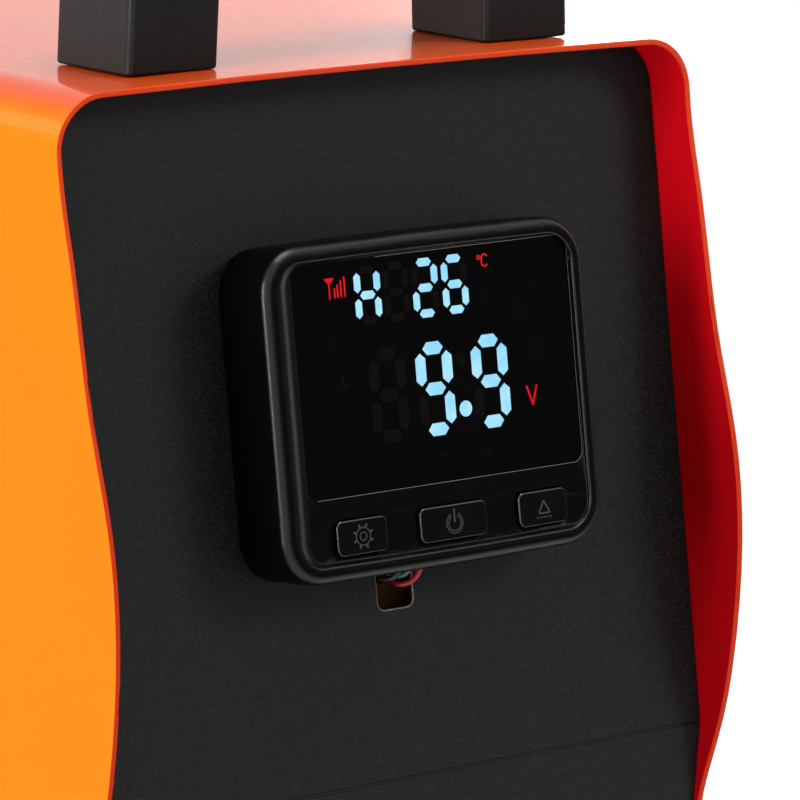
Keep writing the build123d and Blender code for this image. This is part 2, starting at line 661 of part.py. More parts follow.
def make_controller_screws():
    """Four case screws and two screws through the panel."""
    case_screw = Rot(180, 0, 0) * cap_screw(2.4, 1.4, 1.1, 12)
    screws = [Pos(x, y, 1.9) * case_screw for x, y in controller_posts()]
    wall_screw = Rot(180, 0, 0) * cap_screw(2.8, 1.8, 1.2, 6)
    screws += [Pos(x, -CONTROLLER_DROP, -SHEET) * wall_screw for x in wall_screw_places()]
    return Compound(children=[place(screw) for screw in screws])


# ---------------------------------------------------------------- wires and harness

def make_wire(name):
    """One thin wire of the controller's lead."""
    return place(tube_along(name, WIRE_ROUTES[name], WIRE_RADIUS))


def make_harness_plug():
    """Plug and socket where the controller's wires meet the harness."""
    x, y, z = PLUG_CENTRE
    front = plate(11, 8, 1.0, x, y, z, z + 8)
    back = plate(13, 10, 1.5, x, y, z - 8, z)
    latch = block(x - 2.5, x + 2.5, y + 3.8, y + 5.8, z - 5, z + 5)
    world = place(fuse_all([front, back, latch]))
    sleeve = rod_y(3.4, HARNESS_ROUTE[0][0], -146.0, HARNESS_ROUTE[0][1], HARNESS_ROUTE[0][2])
    return world + sleeve


def make_harness_cable():
    """Sheathed cable from the plug to the heater unit."""
    return tube_along("harness_cable", HARNESS_ROUTE, CABLE_RADIUS)


# ---------------------------------------------------------------- outlet and intake

def make_outlet_ring():
    """Square flange with a round collar outside and a sleeve inside the panel."""
    flange = plate(104, 104, 10, 0, 0, 0, 3)
    collar = extrude(Circle(LOUVRE_RADIUS + LOUVRE_GAP + 4.5), 13.5)
    collar = fillet(collar.edges().group_by(Axis.Z)[-1], 2.0)
    sleeve = Pos(0, 0, -14) * extrude(Circle(OUTLET_BORE + 2.6), 15)
    ring = flange + collar + sleeve
    ring = ring - Pos(0, 0, 2) * extrude(Circle(LOUVRE_RADIUS + LOUVRE_GAP), 20)
    ring = ring - Pos(0, 0, -15) * extrude(Circle(OUTLET_BORE), 20)
    holes = [Pos(x, y + PORT_DROP, 0) * Cylinder(1.4, 10) for x, y in outlet_screw_places()]
    return lower_plane(FRONT) * Pos(0, -PORT_DROP, 0) * cut_all(ring, holes)


def make_louvre():
    """Ring that turns in the collar, with sloping slats and a spine behind them."""
    floor = 2 + LOUVRE_GAP
    ring = Pos(0, 0, floor) * extrude(Circle(LOUVRE_RADIUS) - Circle(LOUVRE_RADIUS - 3.2), 12.5)
    slats = []
    spacing = 2 * (LOUVRE_RADIUS - 3.2) / LOUVRE_SLATS
    for number in range(LOUVRE_SLATS):
        y = (number - (LOUVRE_SLATS - 1) / 2) * spacing
        slats.append(Pos(0, y, floor + 6.4) * Rot(-LOUVRE_PITCH, 0, 0) * Box(90, 1.8, 11.0))
    spines = [Pos(x, 0, floor + 2.0) * Box(2.2, 84, 4.0) for x in (-20, 20)]
    inside = Pos(0, 0, floor) * extrude(Circle(LOUVRE_RADIUS - 1.0), 12.5)
    blades = fuse_all(slats + spines) & inside
    return lower_plane(FRONT) * Pos(0, -PORT_DROP, 0) * (ring + blades)


def make_outlet_duct():
    """Round sleeve from the heater unit's spigot to the outlet ring."""
    duct = rod_y(SPIGOT_RADIUS + 3.1, 0, -175, -UNIT_END - 1.0, UNIT_Z)
    duct = duct - rod_y(SPIGOT_RADIUS + 0.1, 0, -176, -UNIT_END, UNIT_Z)
    ahead = lower_plane(FRONT) * Pos(0, -PORT_DROP, 60 - 14.3) * Box(200, 200, 120)
    return duct - ahead


def intake_screw_places():
    """Places of the intake grille's screws in the lower rear plane's axes."""
    return [(55 * cos(a), 55 * sin(a) - PORT_DROP) for a in (radians(45 + 90 * n) for n in range(4))]


def make_intake_grille():
    """Round grille with concentric rings and spokes, screwed on from outside."""
    rim = extrude(Circle(INTAKE_RADIUS + 4) - Circle(INTAKE_RADIUS - 6), 3.0)
    rim = fillet(rim.edges().group_by(Axis.Z)[-1].sort_by(SortBy.RADIUS)[-1], 1.5)
    rings = [extrude(Circle(r + 1.2) - Circle(r - 1.2), 3.0) for r in (14, 23, 32, 41)]
    spokes = [Rot(0, 0, 30 * n) * Pos(0, 0, 1.5) * Box(2 * INTAKE_RADIUS - 10, 2.4, 3.0) for n in range(6)]
    grille = fuse_all([rim] + rings + spokes + [extrude(Circle(7), 3.0)])
    holes = [Pos(x, y + PORT_DROP, 0) * Cylinder(1.4, 10) for x, y in intake_screw_places()]
    return lower_plane(REAR) * Pos(0, -PORT_DROP, 0) * cut_all(grille, holes)


def inlet_cutout():
    """Opening for the power inlet in the lower rear plane's axes."""
    x, y = INLET_PLACE
    return plate(22.4, 16.4, 2.2, x, y, -4, 4)


def make_power_inlet():
    """Panel socket with two blades in an open shroud."""
    x, y = INLET_PLACE
    flange = plate(30, 24, 3.0, x, y, 0, 2.5)
    shroud = plate(22, 16, 2.0, x, y, -20, 9)
    pocket = plate(18, 12, 1.2, x, y, -6, 10)
    blades = [block(x + dx - 0.8, x + dx + 0.8, y - 3.2, y + 3.2, -7, 6) for dx in (-4.5, 4.5)]
    return lower_plane(REAR) * fuse_all([flange + shroud - pocket] + blades)


# ---------------------------------------------------------------- heater unit

def unit_prism(half, corner, y0, y1):
    """Rounded square along Y round the heater unit's axis."""
    section = Plane.XZ * RectangleRounded(2 * half, 2 * half, corner)
    return Pos(0, y1, UNIT_Z) * extrude(section, y1 - y0)


def heater_shell():
    """Whole plastic jacket of the heater unit, before it is split."""
    body = unit_prism(UNIT_HALF, UNIT_CORNER, -UNIT_END, UNIT_END)
    body = body + rod_y(SPIGOT_RADIUS, 0, -UNIT_END - 14, -UNIT_END + 1, UNIT_Z)
    inside_end = UNIT_END - UNIT_WALL
    inside = unit_prism(UNIT_HALF - UNIT_WALL, UNIT_CORNER - UNIT_WALL, -inside_end, inside_end)
    body = body - inside - rod_y(SPIGOT_RADIUS - UNIT_WALL, 0, -UNIT_END - 15, 0, UNIT_Z)
    body = body - rod_y(51, 0, 0, UNIT_END + 1, UNIT_Z)
    ribs = [unit_prism(UNIT_HALF + 1.2, UNIT_CORNER + 1.2, y, y + 3) for y in (-96, -20, 96)]
    ribs = [rib - unit_prism(UNIT_HALF - 1, UNIT_CORNER - 1, -UNIT_END, UNIT_END) for rib in ribs]
    return fuse_all([body] + ribs)


def make_heater_lower_shell():
    """Lower half of the jacket, open under the two port feet."""
    half = heater_shell() & block(-80, 80, -180, 180, 0, UNIT_Z - 0.05)
    return half - block(-39, 39, EXHAUST_Y - 25, EXHAUST_Y + 25, 30, 60) - block(-39, 39, 24, 57, 30, 60)


def make_heater_upper_shell():
    """Upper half of the jacket with the cable hood on top."""
    half = heater_shell() & block(-80, 80, -180, 180, UNIT_Z + 0.05, 200)
    hood = block(31, 49, 58, 80, UNIT_Z + UNIT_HALF - 1, UNIT_Z + UNIT_HALF + 16)
    hood = fillet(hood.edges().filter_by(Axis.Y).group_by(Axis.Z)[-1], 4.0)
    return half + hood - rod_x(5, 40, 70, 50, UNIT_Z + 14)


def stud_places():
    """Centres of the studs through the floor plate."""
    return [(x, y) for x in (-STUD_X, STUD_X) for y in (EXHAUST_Y, AIR_Y)]


def port_foot(y_centre, length, top):
    """Foot that carries a port down to the floor plate, with two stud holes."""
    foot = block(-38, 38, y_centre - length / 2, y_centre + length / 2, PORT_FACE_Z, top)
    return cut_all(foot, [rod_z(3.05, x, y_centre, PORT_FACE_Z - 1, 50) for x in (-STUD_X, STUD_X)])


def make_heat_exchanger():
    """Cast aluminium drum with lengthwise fins and the exhaust foot."""
    drum = rod_y(CORE_RADIUS, 0, -100, 14, UNIT_Z)
    fins = []
    for number in range(FIN_COUNT):
        fin = Pos((CORE_RADIUS + FIN_RADIUS) / 2 - 1, -42, 0) * Box(FIN_RADIUS - CORE_RADIUS + 2, 106, 2.0)
        fins.append(Pos(0, 0, UNIT_Z) * Rot(0, 360 / FIN_COUNT * number, 0) * fin)
    foot = port_foot(EXHAUST_Y, 48, UNIT_Z - CORE_RADIUS + 8)
    foot = foot & block(-38, 38, -100, 100, 0, UNIT_Z)
    flange = rod_y(50, 0, 14, 20, UNIT_Z)
    body = fuse_all([drum] + fins + [foot, flange])
    body = body - rod_y(CORE_RADIUS - 4, 0, -96, 14, UNIT_Z) - rod_y(27, 0, 13, 21, UNIT_Z)
    body = body - rod_z(EXHAUST_RADIUS + 0.1, 0, EXHAUST_Y, PORT_FACE_Z - 1, 46)
    return body - rod_z(EXHAUST_RADIUS - 1.2, 0, EXHAUST_Y, 45, 80)


def make_burner_tube():
    """Stainless combustion tube with rows of air holes and a rear flange."""
    tube = rod_y(26, 0, -70, 22, UNIT_Z) - rod_y(24.5, 0, -71, 20, UNIT_Z)
    tube = tube + rod_y(45, 0, 20, 22, UNIT_Z)
    tube = tube - rod_y(8, 0, 19, 23, UNIT_Z) - rod_y(4.8, 14, 19, 23, UNIT_Z + 8)
    for row in range(3):
        for number in range(4):
            drill = Rot(0, 45 * number + 22.5 * row, 0) * Cylinder(2.2, 60)
            tube = tube - Pos(0, -10 - 14 * row, UNIT_Z) * drill
    return tube


def make_glow_plug():
    """Ceramic igniter with a hexagon body, along the burner."""
    pin = rod_y(2.5, 14, -12, 6, UNIT_Z + 8)
    barrel = rod_y(4.5, 14, 6, 26.5, UNIT_Z + 8)
    return pin + barrel


def make_blower_housing():
    """Cast housing of the combustion blower with its air foot and fuel pipe."""
    body = rod_y(50, 0, 22, 56, UNIT_Z)
    foot = port_foot(AIR_Y, 32, UNIT_Z - 30)
    body = body + foot
    body = body - rod_y(33, 0, 27, 45, UNIT_Z) - rod_y(10, 0, 21, 28, UNIT_Z) - rod_y(3.5, 0, 40, 57, UNIT_Z)
    body = body - rod_y(4.8, 14, 21, 27.5, UNIT_Z + 8)
    body = body - rod_z(AIR_RADIUS + 0.1, 0, AIR_Y, PORT_FACE_Z - 1, 46)
    body = body - rod_z(AIR_RADIUS - 1.2, 0, AIR_Y, 45, UNIT_Z - 28)
    pipe = rod_x(2.5, 45, 76, 50, UNIT_Z + 14) + Pos(76, 50, UNIT_Z + 14) * Sphere(2.5)
    pipe = pipe + rod_y(2.5, 76, 43, 50, UNIT_Z + 14) + rod_y(NIPPLE_RADIUS, 76, 34, 44, UNIT_Z + 14)
    return body + pipe


def make_fan_motor():
    """Motor can with two bearing bores."""
    can = rod_y(21, 0, 56.2, 104, UNIT_Z) - rod_y(18.5, 0, 59.5, 100.5, UNIT_Z)
    bearings = rod_y(7, 0, 104, 106, UNIT_Z)
    return can + bearings - rod_y(SHAFT_RADIUS + 0.05, 0, 50, 110, UNIT_Z)


def make_motor_shaft():
    """Shaft with the armature drum on it."""
    return rod_y(SHAFT_RADIUS, 0, 29, 123, UNIT_Z) + rod_y(14, 0, 66, 94, UNIT_Z)


def make_hot_air_fan():
    """Axial fan at the intake end, with curved blades on a hub."""
    hub = rod_y(16, 0, 108, 122, UNIT_Z)
    hub = fillet(hub.edges().filter_by(GeomType.CIRCLE).sort_by(Axis.Y)[-1], 4.0)
    section = make_face(ThreePointArc((-9, -5.2), (0, 1.4), (9, 4.4)) + Line((9, 4.4), (9, 5.8))
                        + ThreePointArc((9, 5.8), (0, 3.0), (-9, -3.4)) + Line((-9, -3.4), (-9, -5.2)))
    blade = Pos(0, 115, 14) * extrude(section, 34.5)
    blades = [Pos(0, 0, UNIT_Z) * Rot(0, 360 / FAN_BLADES * n, 0) * blade for n in range(FAN_BLADES)]
    return fuse_all([hub] + blades) - rod_y(SHAFT_RADIUS, 0, 100, 130, UNIT_Z)


def make_combustion_impeller():
    """Small radial wheel that feeds air to the burner."""
    disc = rod_y(30, 0, 38, 40.5, UNIT_Z)
    blades = []
    for number in range(IMPELLER_BLADES):
        blade = Pos(20, 34.5, 0) * Rot(0, 30, 0) * Box(18, 8, 1.2)
        blades.append(Pos(0, 0, UNIT_Z) * Rot(0, 360 / IMPELLER_BLADES * number, 0) * blade)
    hub = rod_y(6, 0, 31, 40.5, UNIT_Z)
    wheel = fuse_all([disc, hub] + blades) & rod_y(30, 0, 30, 42, UNIT_Z)
    return wheel - rod_y(SHAFT_RADIUS, 0, 28, 60, UNIT_Z)


def make_control_box():
    """Control unit over the motor, on two legs that stand on the blower housing's rear face."""
    case = block(-30, 30, 58, 98, UNIT_Z + 25, UNIT_Z + 45)
    case = fillet(case.edges().filter_by(Axis.Y), 2.5)
    socket = block(-12, 12, 98, 104, UNIT_Z + 29, UNIT_Z + 39)
    legs = [block(x - 4, x + 4, 56.1, 58, UNIT_Z + 26, UNIT_Z + 40) for x in (-22, 22)]
    return fuse_all([case, socket] + legs)


def make_overheat_sensor():
    """Temperature sensor clipped on the fins."""
    top = UNIT_Z + FIN_RADIUS
    clip = block(-9, 9, -62, -50, top, top + 1.0)
    bead = rod_y(2.2, 0, -62, -50, top + 2.6)
    return clip + bead


def make_mounting_gasket():
    """Gasket between the heater unit's two feet and the floor plate."""
    gasket = block(-42, 42, EXHAUST_Y - 28, AIR_Y + 20, FOOT_HEIGHT + SHEET, PORT_FACE_Z)
    holes = [rod_z(EXHAUST_RADIUS + 0.5, 0, EXHAUST_Y, 20, 40), rod_z(AIR_RADIUS + 0.5, 0, AIR_Y, 20, 40)]
    holes += [rod_z(3.2, x, y, 20, 40) for x, y in stud_places()]
    return cut_all(gasket, holes)


def make_mounting_studs():
    """Studs from the feet down through the floor plate, each with its nut."""
    studs = []
    for x, y in stud_places():
        nut = Pos(x, y, FOOT_HEIGHT - 5) * extrude(RegularPolygon(5.77, 6), 5)
        studs.append(nut + rod_z(3.0, x, y, FOOT_HEIGHT - 8, 48))
    return Compound(children=studs)


def stub(radius, y):
    """Tube stub down through the floor plate, with a collar against its underside."""
    pipe = rod_z(radius, 0, y, STUB_END_Z, 45.5)
    collar = rod_z(radius + 3.2, 0, y, FOOT_HEIGHT - 4, FOOT_HEIGHT - 0.1)
    return pipe + collar - rod_z(radius - 1.2, 0, y, STUB_END_Z - 1, 46)


# ---------------------------------------------------------------- tank, cap and fuel line

def tank_body(shrink):
    """Rounded block of the tank, smaller by a wall all round."""
    half_x = TANK_HALF_WIDTH - shrink
    body = block(-half_x, half_x, TANK_FRONT_Y + shrink, TANK_REAR_Y - shrink,
                 TANK_BOTTOM_Z + shrink, TANK_TOP_Z - shrink)
    body = fillet(body.edges().filter_by(Axis.Z), TANK_CORNER - shrink)
    return fillet(body.edges().group_by(Axis.Z)[0] + body.edges().group_by(Axis.Z)[-1], TANK_EDGE - shrink)


def make_fuel_tank():
    """Blow-moulded tank with a neck up through the casing's top."""
    tank = tank_body(0) + rod_z(NECK_RADIUS, 0, NECK_Y, TANK_TOP_Z - 5, NECK_TOP_Z)
    tank = tank - tank_body(TANK_WALL) - rod_z(NECK_BORE, 0, NECK_Y, TANK_TOP_Z - 6, NECK_TOP_Z + 1)
    return tank - rod_z(2.6, PICKUP[0], PICKUP[1], TANK_TOP_Z - 10, TANK_TOP_Z + 5)


def make_tank_straps():
    """Two steel straps over the tank down to the shelf."""
    reach = TANK_HALF_WIDTH + 0.3
    over = reach + STRAP_SHEET
    low = TANK_BOTTOM_Z - 0.2
    straps = []
    for middle in STRAP_Y:
        y0 = middle - STRAP_WIDTH / 2
        y1 = middle + STRAP_WIDTH / 2
        outer = block(-over, over, y0, y1, low, TANK_TOP_Z + 0.3 + STRAP_SHEET)
        inner = block(-reach, reach, y0 - 1, y1 + 1, low - 1, TANK_TOP_Z + 0.3)
        feet = [block(x, x + 6, y0, y1, low, low + STRAP_SHEET) for x in (-over - 6, over)]
        straps.append(fuse_all([outer - inner] + feet))
    return Compound(children=straps)


def make_neck_gasket():
    """Rubber ring that fills the casing's hole round the filler neck."""
    middle = rod_z(NECK_HOLE - 0.1, 0, NECK_Y, CASING_TOP - 3.2, CASING_TOP + 1.4)
    upper = rod_z(NECK_HOLE + 4, 0, NECK_Y, CASING_TOP + 0.05, CASING_TOP + 1.4)
    lower = rod_z(NECK_HOLE + 3, 0, NECK_Y, CASING_TOP - 3.2, CASING_TOP - SHEET - 0.2)
    bore = rod_z(NECK_RADIUS + 0.1, 0, NECK_Y, CASING_TOP - 5, CASING_TOP + 5)
    return fuse_all([middle, upper, lower]) - bore


def make_filler_cap():
    """Screw cap with a ribbed grip and a raised bar across its top."""
    bottom = CASING_TOP + 2.2
    top = NECK_TOP_Z + 9.0
    cap = rod_z(CAP_RADIUS, 0, NECK_Y, bottom, top)
    cap = fillet(cap.edges().group_by(Axis.Z)[-1], 2.5)
    grooves = []
    for number in range(CAP_GRIPS):
        angle = 2 * pi / CAP_GRIPS * number
        x = (CAP_RADIUS + 1.6) * cos(angle)
        y = NECK_Y + (CAP_RADIUS + 1.6) * sin(angle)
        grooves.append(rod_z(3.0, x, y, bottom - 1, top + 1))
    bar = plate(48, 11, 4, 0, NECK_Y, top - 0.5, top + 6)
    bar = fillet(bar.edges().group_by(Axis.Z)[-1], 2.0)
    cap = cut_all(cap, grooves) + bar
    return cap - rod_z(NECK_RADIUS + 0.4, 0, NECK_Y, bottom - 1, NECK_TOP_Z + 2.2)


def make_cap_seal():
    """Flat sealing disc under the cap, on the neck's rim."""
    return rod_z(NECK_RADIUS - 0.7, 0, NECK_Y, NECK_TOP_Z + 0.05, NECK_TOP_Z + 2.0)


def make_fuel_pickup():
    """Pickup on the tank's top: dip tube inside, nipple towards the front."""
    x, y = PICKUP
    dip = rod_z(2.5, x, y, TANK_BOTTOM_Z + 12, TANK_TOP_Z + 2)
    dip = dip - rod_z(1.5, x, y, TANK_BOTTOM_Z + 11, TANK_TOP_Z - 1)
    flange = rod_z(9, x, y, TANK_TOP_Z, TANK_TOP_Z + 3)
    head = rod_z(5, x, y, TANK_TOP_Z + 3, TANK_TOP_Z + 12)
    nipple = rod_y(NIPPLE_RADIUS, x, y - 18, y, TANK_TOP_Z + 8)
    collar = rod_y(HOSE_RADIUS + 0.4, x, y - 9, y, TANK_TOP_Z + 8)
    return fuse_all([dip, flange, head, nipple, collar])


def make_fuel_filter():
    """Inline filter, upright in the front bay, on a bracket to the tank shelf's front."""
    x, y = FILTER
    top = FILTER_BOTTOM_Z + FILTER_LENGTH
    body = rod_z(12, x, y, FILTER_BOTTOM_Z, top)
    body = fillet(body.edges().filter_by(GeomType.CIRCLE), 3.0)
    nipple = rod_z(NIPPLE_RADIUS, x, y, FILTER_BOTTOM_Z - 12, top + 12)
    shoulders = rod_z(4, x, y, FILTER_BOTTOM_Z - 3, top + 3)
    bracket = block(x - 8, x + 8, y + 11, TANK_FRONT_Y - 0.2, FILTER_BOTTOM_Z + 18, FILTER_BOTTOM_Z + 20)
    pad = block(x - 8, x + 8, TANK_FRONT_Y - 1.6, TANK_FRONT_Y - 0.1,
                FILTER_BOTTOM_Z + 10, FILTER_BOTTOM_Z + 28)
    return fuse_all([body, nipple, shoulders, bracket, pad])


def pump_location():
    """Axes of the dosing pump: local Z runs from its inlet up to its outlet."""
    slope = radians(PUMP_SLOPE)
    return Plane(origin=PUMP_CENTRE, x_dir=(1, 0, 0), z_dir=(0, cos(slope), sin(slope))).location


def make_fuel_pump():
    """Dosing pump with a bore for its plunger and a nipple at each end."""
    body = Cylinder(PUMP_RADIUS, PUMP_LENGTH - 24) + Cylinder(9, PUMP_LENGTH)
    nipples = Cylinder(NIPPLE_RADIUS, PUMP_LENGTH + 24)
    collars = Cylinder(3.2, PUMP_LENGTH + 6)
    socket = Pos(0, 11, 14) * Box(14, 8, 12)
    body = fuse_all([body, nipples, collars, socket])
    return pump_location() * (body - Cylinder(5.3, 40))


def make_pump_plunger():
    """Plunger that slides in the pump."""
    return pump_location() * Pos(0, 0, -4.5) * Cylinder(5.0, 30)


def make_pump_holder():
    """Rubber saddle on a bracket that stands on the floor plate."""
    saddle = Cylinder(PUMP_RADIUS + 3, 14) - Cylinder(PUMP_RADIUS + 0.05, 16)
    saddle = pump_location() * Pos(0, 0, -8) * saddle
    saddle = saddle & block(64, 94.2, -120, 20, 0, 200)
    slope = radians(PUMP_SLOPE)
    y = PUMP_CENTRE[1] - 8 * cos(slope)
    z = PUMP_CENTRE[2] - 8 * sin(slope)
    x = PUMP_CENTRE[0]
    floor = FOOT_HEIGHT + SHEET
    post = block(x - 8, x + 8, y - 5, y + 5, floor, z - PUMP_RADIUS - 2.7)
    foot = block(x - 9, x + 9, y - 14, y + 14, floor, floor + 2)
    return fuse_all([saddle, post, foot])


def make_fuel_hoses():
    """Three hoses: pickup to filter, filter to pump, pump to heater unit."""
    x, y = PICKUP
    z = TANK_TOP_Z + 8
    filter_y = FILTER[1]
    suction = [(x, y - 9.2, z), (x, y - 34, z), (x, filter_y, z - 20),
               (x, filter_y, FILTER_BOTTOM_Z + FILTER_LENGTH + 3.2)]
    slope = radians(PUMP_SLOPE)
    reach = PUMP_LENGTH / 2 + 3.2
    inlet = (79.0, PUMP_CENTRE[1] - reach * cos(slope), PUMP_CENTRE[2] - reach * sin(slope))
    outlet = (79.0, PUMP_CENTRE[1] + reach * cos(slope), PUMP_CENTRE[2] + reach * sin(slope))
    before_inlet = (79.0, inlet[1] - 24 * cos(slope), inlet[2] - 24 * sin(slope))
    after_outlet = (79.0, outlet[1] + 18 * cos(slope), outlet[2] + 18 * sin(slope))
    middle = [(x, filter_y, FILTER_BOTTOM_Z - 3.2), (x, filter_y, 208.0),
              (-33.0, -138.0, 184.0), (5.0, -142.0, 177.0),
              (44.0, -140.0, 171.0), (72.0, -146.0, 150.0), (79.0, -154.0, 116.0), (79.0, -148.0, 84.0),
              before_inlet, inlet]
    delivery = [outlet, after_outlet, (76.0, 23.0, UNIT_Z + 14), (76.0, 42.9, UNIT_Z + 14)]
    hoses = [tube_along("hose " + str(n), route, HOSE_RADIUS, HOSE_BORE)
             for n, route in enumerate((suction, middle, delivery))]
    return Compound(children=hoses)


# ---------------------------------------------------------------- write the parts

NODES = {
    "casing": make_casing,
    "front_panel": make_front_panel,
    "rear_panel": make_rear_panel,
    "base_tray": make_base_tray,
    "tank_shelf": make_tank_shelf,
    "rubber_feet": make_rubber_feet,
    "foot_screws": make_foot_screws,
    "casing_screws": make_casing_screws,
    "panel_screws": make_panel_screws,
    "handle_front": lambda: make_handle(FRONT),
    "handle_rear": lambda: make_handle(REAR),
    "handle_screws": make_handle_screws,
    "controller_back": make_controller_back,
    "controller_bezel": make_controller_bezel,
    "display_glass": make_display_glass,
    "display_module": make_display_module,
    "controller_board": make_controller_board,
    "button_settings": lambda: make_button("button_settings"),
    "button_power": lambda: make_button("button_power"),
    "button_up": lambda: make_button("button_up"),
    "button_pad": make_button_pad,
    "controller_screws": make_controller_screws,
    "wire_red": lambda: make_wire("wire_red"),
    "wire_green": lambda: make_wire("wire_green"),
    "wire_black": lambda: make_wire("wire_black"),
    "harness_plug": make_harness_plug,
    "harness_cable": make_harness_cable,
    "outlet_ring": make_outlet_ring,
    "louvre": make_louvre,
    "outlet_duct": make_outlet_duct,
    "intake_grille": make_intake_grille,
    "power_inlet": make_power_inlet,
    "heater_lower_shell": make_heater_lower_shell,
    "heater_upper_shell": make_heater_upper_shell,
    "heat_exchanger": make_heat_exchanger,
    "burner_tube": make_burner_tube,
    "glow_plug": make_glow_plug,
    "blower_housing": make_blower_housing,
    "fan_motor": make_fan_motor,
    "motor_shaft": make_motor_shaft,
    "hot_air_fan": make_hot_air_fan,
    "combustion_impeller": make_combustion_impeller,
    "control_box": make_control_box,
    "overheat_sensor": make_overheat_sensor,
    "mounting_gasket": make_mounting_gasket,
    "mounting_studs": make_mounting_studs,
    "exhaust_stub": lambda: stub(EXHAUST_RADIUS, EXHAUST_Y),
    "air_stub": lambda: stub(AIR_RADIUS, AIR_Y),
    "fuel_tank": make_fuel_tank,
    "tank_straps": make_tank_straps,
    "neck_gasket": make_neck_gasket,
    "filler_cap": make_filler_cap,
    "cap_seal": make_cap_seal,
    "fuel_pickup": make_fuel_pickup,
    "fuel_filter": make_fuel_filter,
    "fuel_pump": make_fuel_pump,
    "pump_plunger": make_pump_plunger,
    "pump_holder": make_pump_holder,
    "fuel_hoses": make_fuel_hoses,
}

os.makedirs("parts", exist_ok=True)
for node, make in NODES.items():
    print("making", node)
    export_step(make(), "parts/" + node + ".step")
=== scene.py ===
"""Looks of the portable diesel air heater: coats, mouldings, lit display, controls and studio."""

import functools
import json
import logging
from dataclasses import dataclass, field
from enum import Enum
from math import cos, pi, radians, sin

import bmesh
import bpy
from bpy.types import ID, Material, Node, NodeTree, Object
from bpy.types import NodeSocket as Socket
from mathutils import Matrix, Vector

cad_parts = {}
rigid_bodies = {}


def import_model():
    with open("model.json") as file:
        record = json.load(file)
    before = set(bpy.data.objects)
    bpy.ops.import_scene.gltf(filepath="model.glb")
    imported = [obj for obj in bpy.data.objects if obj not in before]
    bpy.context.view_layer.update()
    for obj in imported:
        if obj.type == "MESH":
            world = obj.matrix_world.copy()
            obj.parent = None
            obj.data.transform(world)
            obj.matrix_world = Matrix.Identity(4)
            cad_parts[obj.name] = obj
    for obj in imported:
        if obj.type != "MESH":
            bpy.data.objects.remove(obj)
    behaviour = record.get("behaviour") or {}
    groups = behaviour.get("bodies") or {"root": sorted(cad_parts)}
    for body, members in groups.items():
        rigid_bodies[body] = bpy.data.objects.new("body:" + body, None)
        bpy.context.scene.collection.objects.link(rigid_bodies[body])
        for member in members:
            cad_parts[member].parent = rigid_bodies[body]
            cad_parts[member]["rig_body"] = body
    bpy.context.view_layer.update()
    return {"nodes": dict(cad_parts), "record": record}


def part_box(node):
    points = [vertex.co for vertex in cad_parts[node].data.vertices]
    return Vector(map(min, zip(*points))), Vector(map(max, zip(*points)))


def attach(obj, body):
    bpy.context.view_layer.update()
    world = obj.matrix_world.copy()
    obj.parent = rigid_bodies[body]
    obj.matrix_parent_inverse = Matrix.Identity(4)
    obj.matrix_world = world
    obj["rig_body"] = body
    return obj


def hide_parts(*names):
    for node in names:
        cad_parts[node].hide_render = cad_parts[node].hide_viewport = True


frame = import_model()

LOG = logging.getLogger("heater")
MM = 0.001
PANEL_TILT = radians(8.6)

Colour = tuple[float, float, float, float]
Point2 = tuple[float, float]
Point3 = tuple[float, float, float]
Sides = tuple[float, float, float, float]
Feeds = dict[str | int, float | Point3 | Colour | Socket]
Bar = tuple[Point2, Point2, float]
Edges = tuple[tuple[str, float], ...]
Arc = tuple[Point2, float, float] | tuple[Point2, float, float, float, float]

WHITE: Colour = (1.0, 1.0, 1.0, 1.0)
# Directions that a face can lean towards.
UPWARD: Point3 = (0.0, 0.0, 1.0)
PANEL_OUT: Point3 = (0.0, -cos(PANEL_TILT), sin(PANEL_TILT))
# The middle of the display window: across and down the panel, and above its face, in millimetres.
WINDOW_PLACE: Point3 = (6.1, 76.8, 16.8)
# Stretches of a noise value or of a cosine over which a look changes.
NOISE_SPAN: Point2 = (0.3, 0.7)
PANEL_LEAN: Point2 = (0.97, 0.80)
OUTWARD_LEAN: Point2 = (0.25, 0.60)
TOWARD_LEAN: Point2 = (0.08, 0.42)
# The mix node's factor and its two colours, and its colour result, by socket number.
MIX_INPUTS = (0, 6, 7)
MIX_RESULT = 2


def srgb(red: int, green: int, blue: int) -> Colour:
    """Turn a screen colour into the linear colour that shaders take.

    Args:
        red: Red from 0 to 255.
        green: Green from 0 to 255.
        blue: Blue from 0 to 255.

    Returns:
        Linear red, green and blue, and an alpha of 1.
    """
    parts = (value / 255 for value in (red, green, blue))
    return (*(part / 12.92 if part <= 0.04045 else ((part + 0.055) / 1.055) ** 2.4
              for part in parts), 1.0)


def scaled(colour: Colour, factor: float) -> Colour:
    """Return the colour made lighter or darker by a factor."""
    return (colour[0] * factor, colour[1] * factor, colour[2] * factor, 1.0)


def between(first: Point2, last: Point2, part: float) -> Point2:
    """Return the place a part of the way from one place to another."""
    return (first[0] + (last[0] - first[0]) * part, first[1] + (last[1] - first[1]) * part)


def place_object(name: str, data: ID) -> Object:
    """Put a mesh, a lamp or a camera into the scene.

    Args:
        name: The new object's name.
        data: The mesh, lamp or camera.

    Returns:
        The new object.
    """
    placed = bpy.data.objects.new(name, data)
    bpy.context.scene.collection.objects.link(placed)
    return placed


def place_shell(name: str, shell: bmesh.types.BMesh) -> Object:
    """Turn a finished shell into an object and free the shell.

    Args:
        name: The new object's name, and its mesh's.
        shell: The shell.

    Returns:
        The new object.
    """
    mesh = bpy.data.meshes.new(name)
    shell.to_mesh(mesh)
    shell.free()
    return place_object(name, mesh)


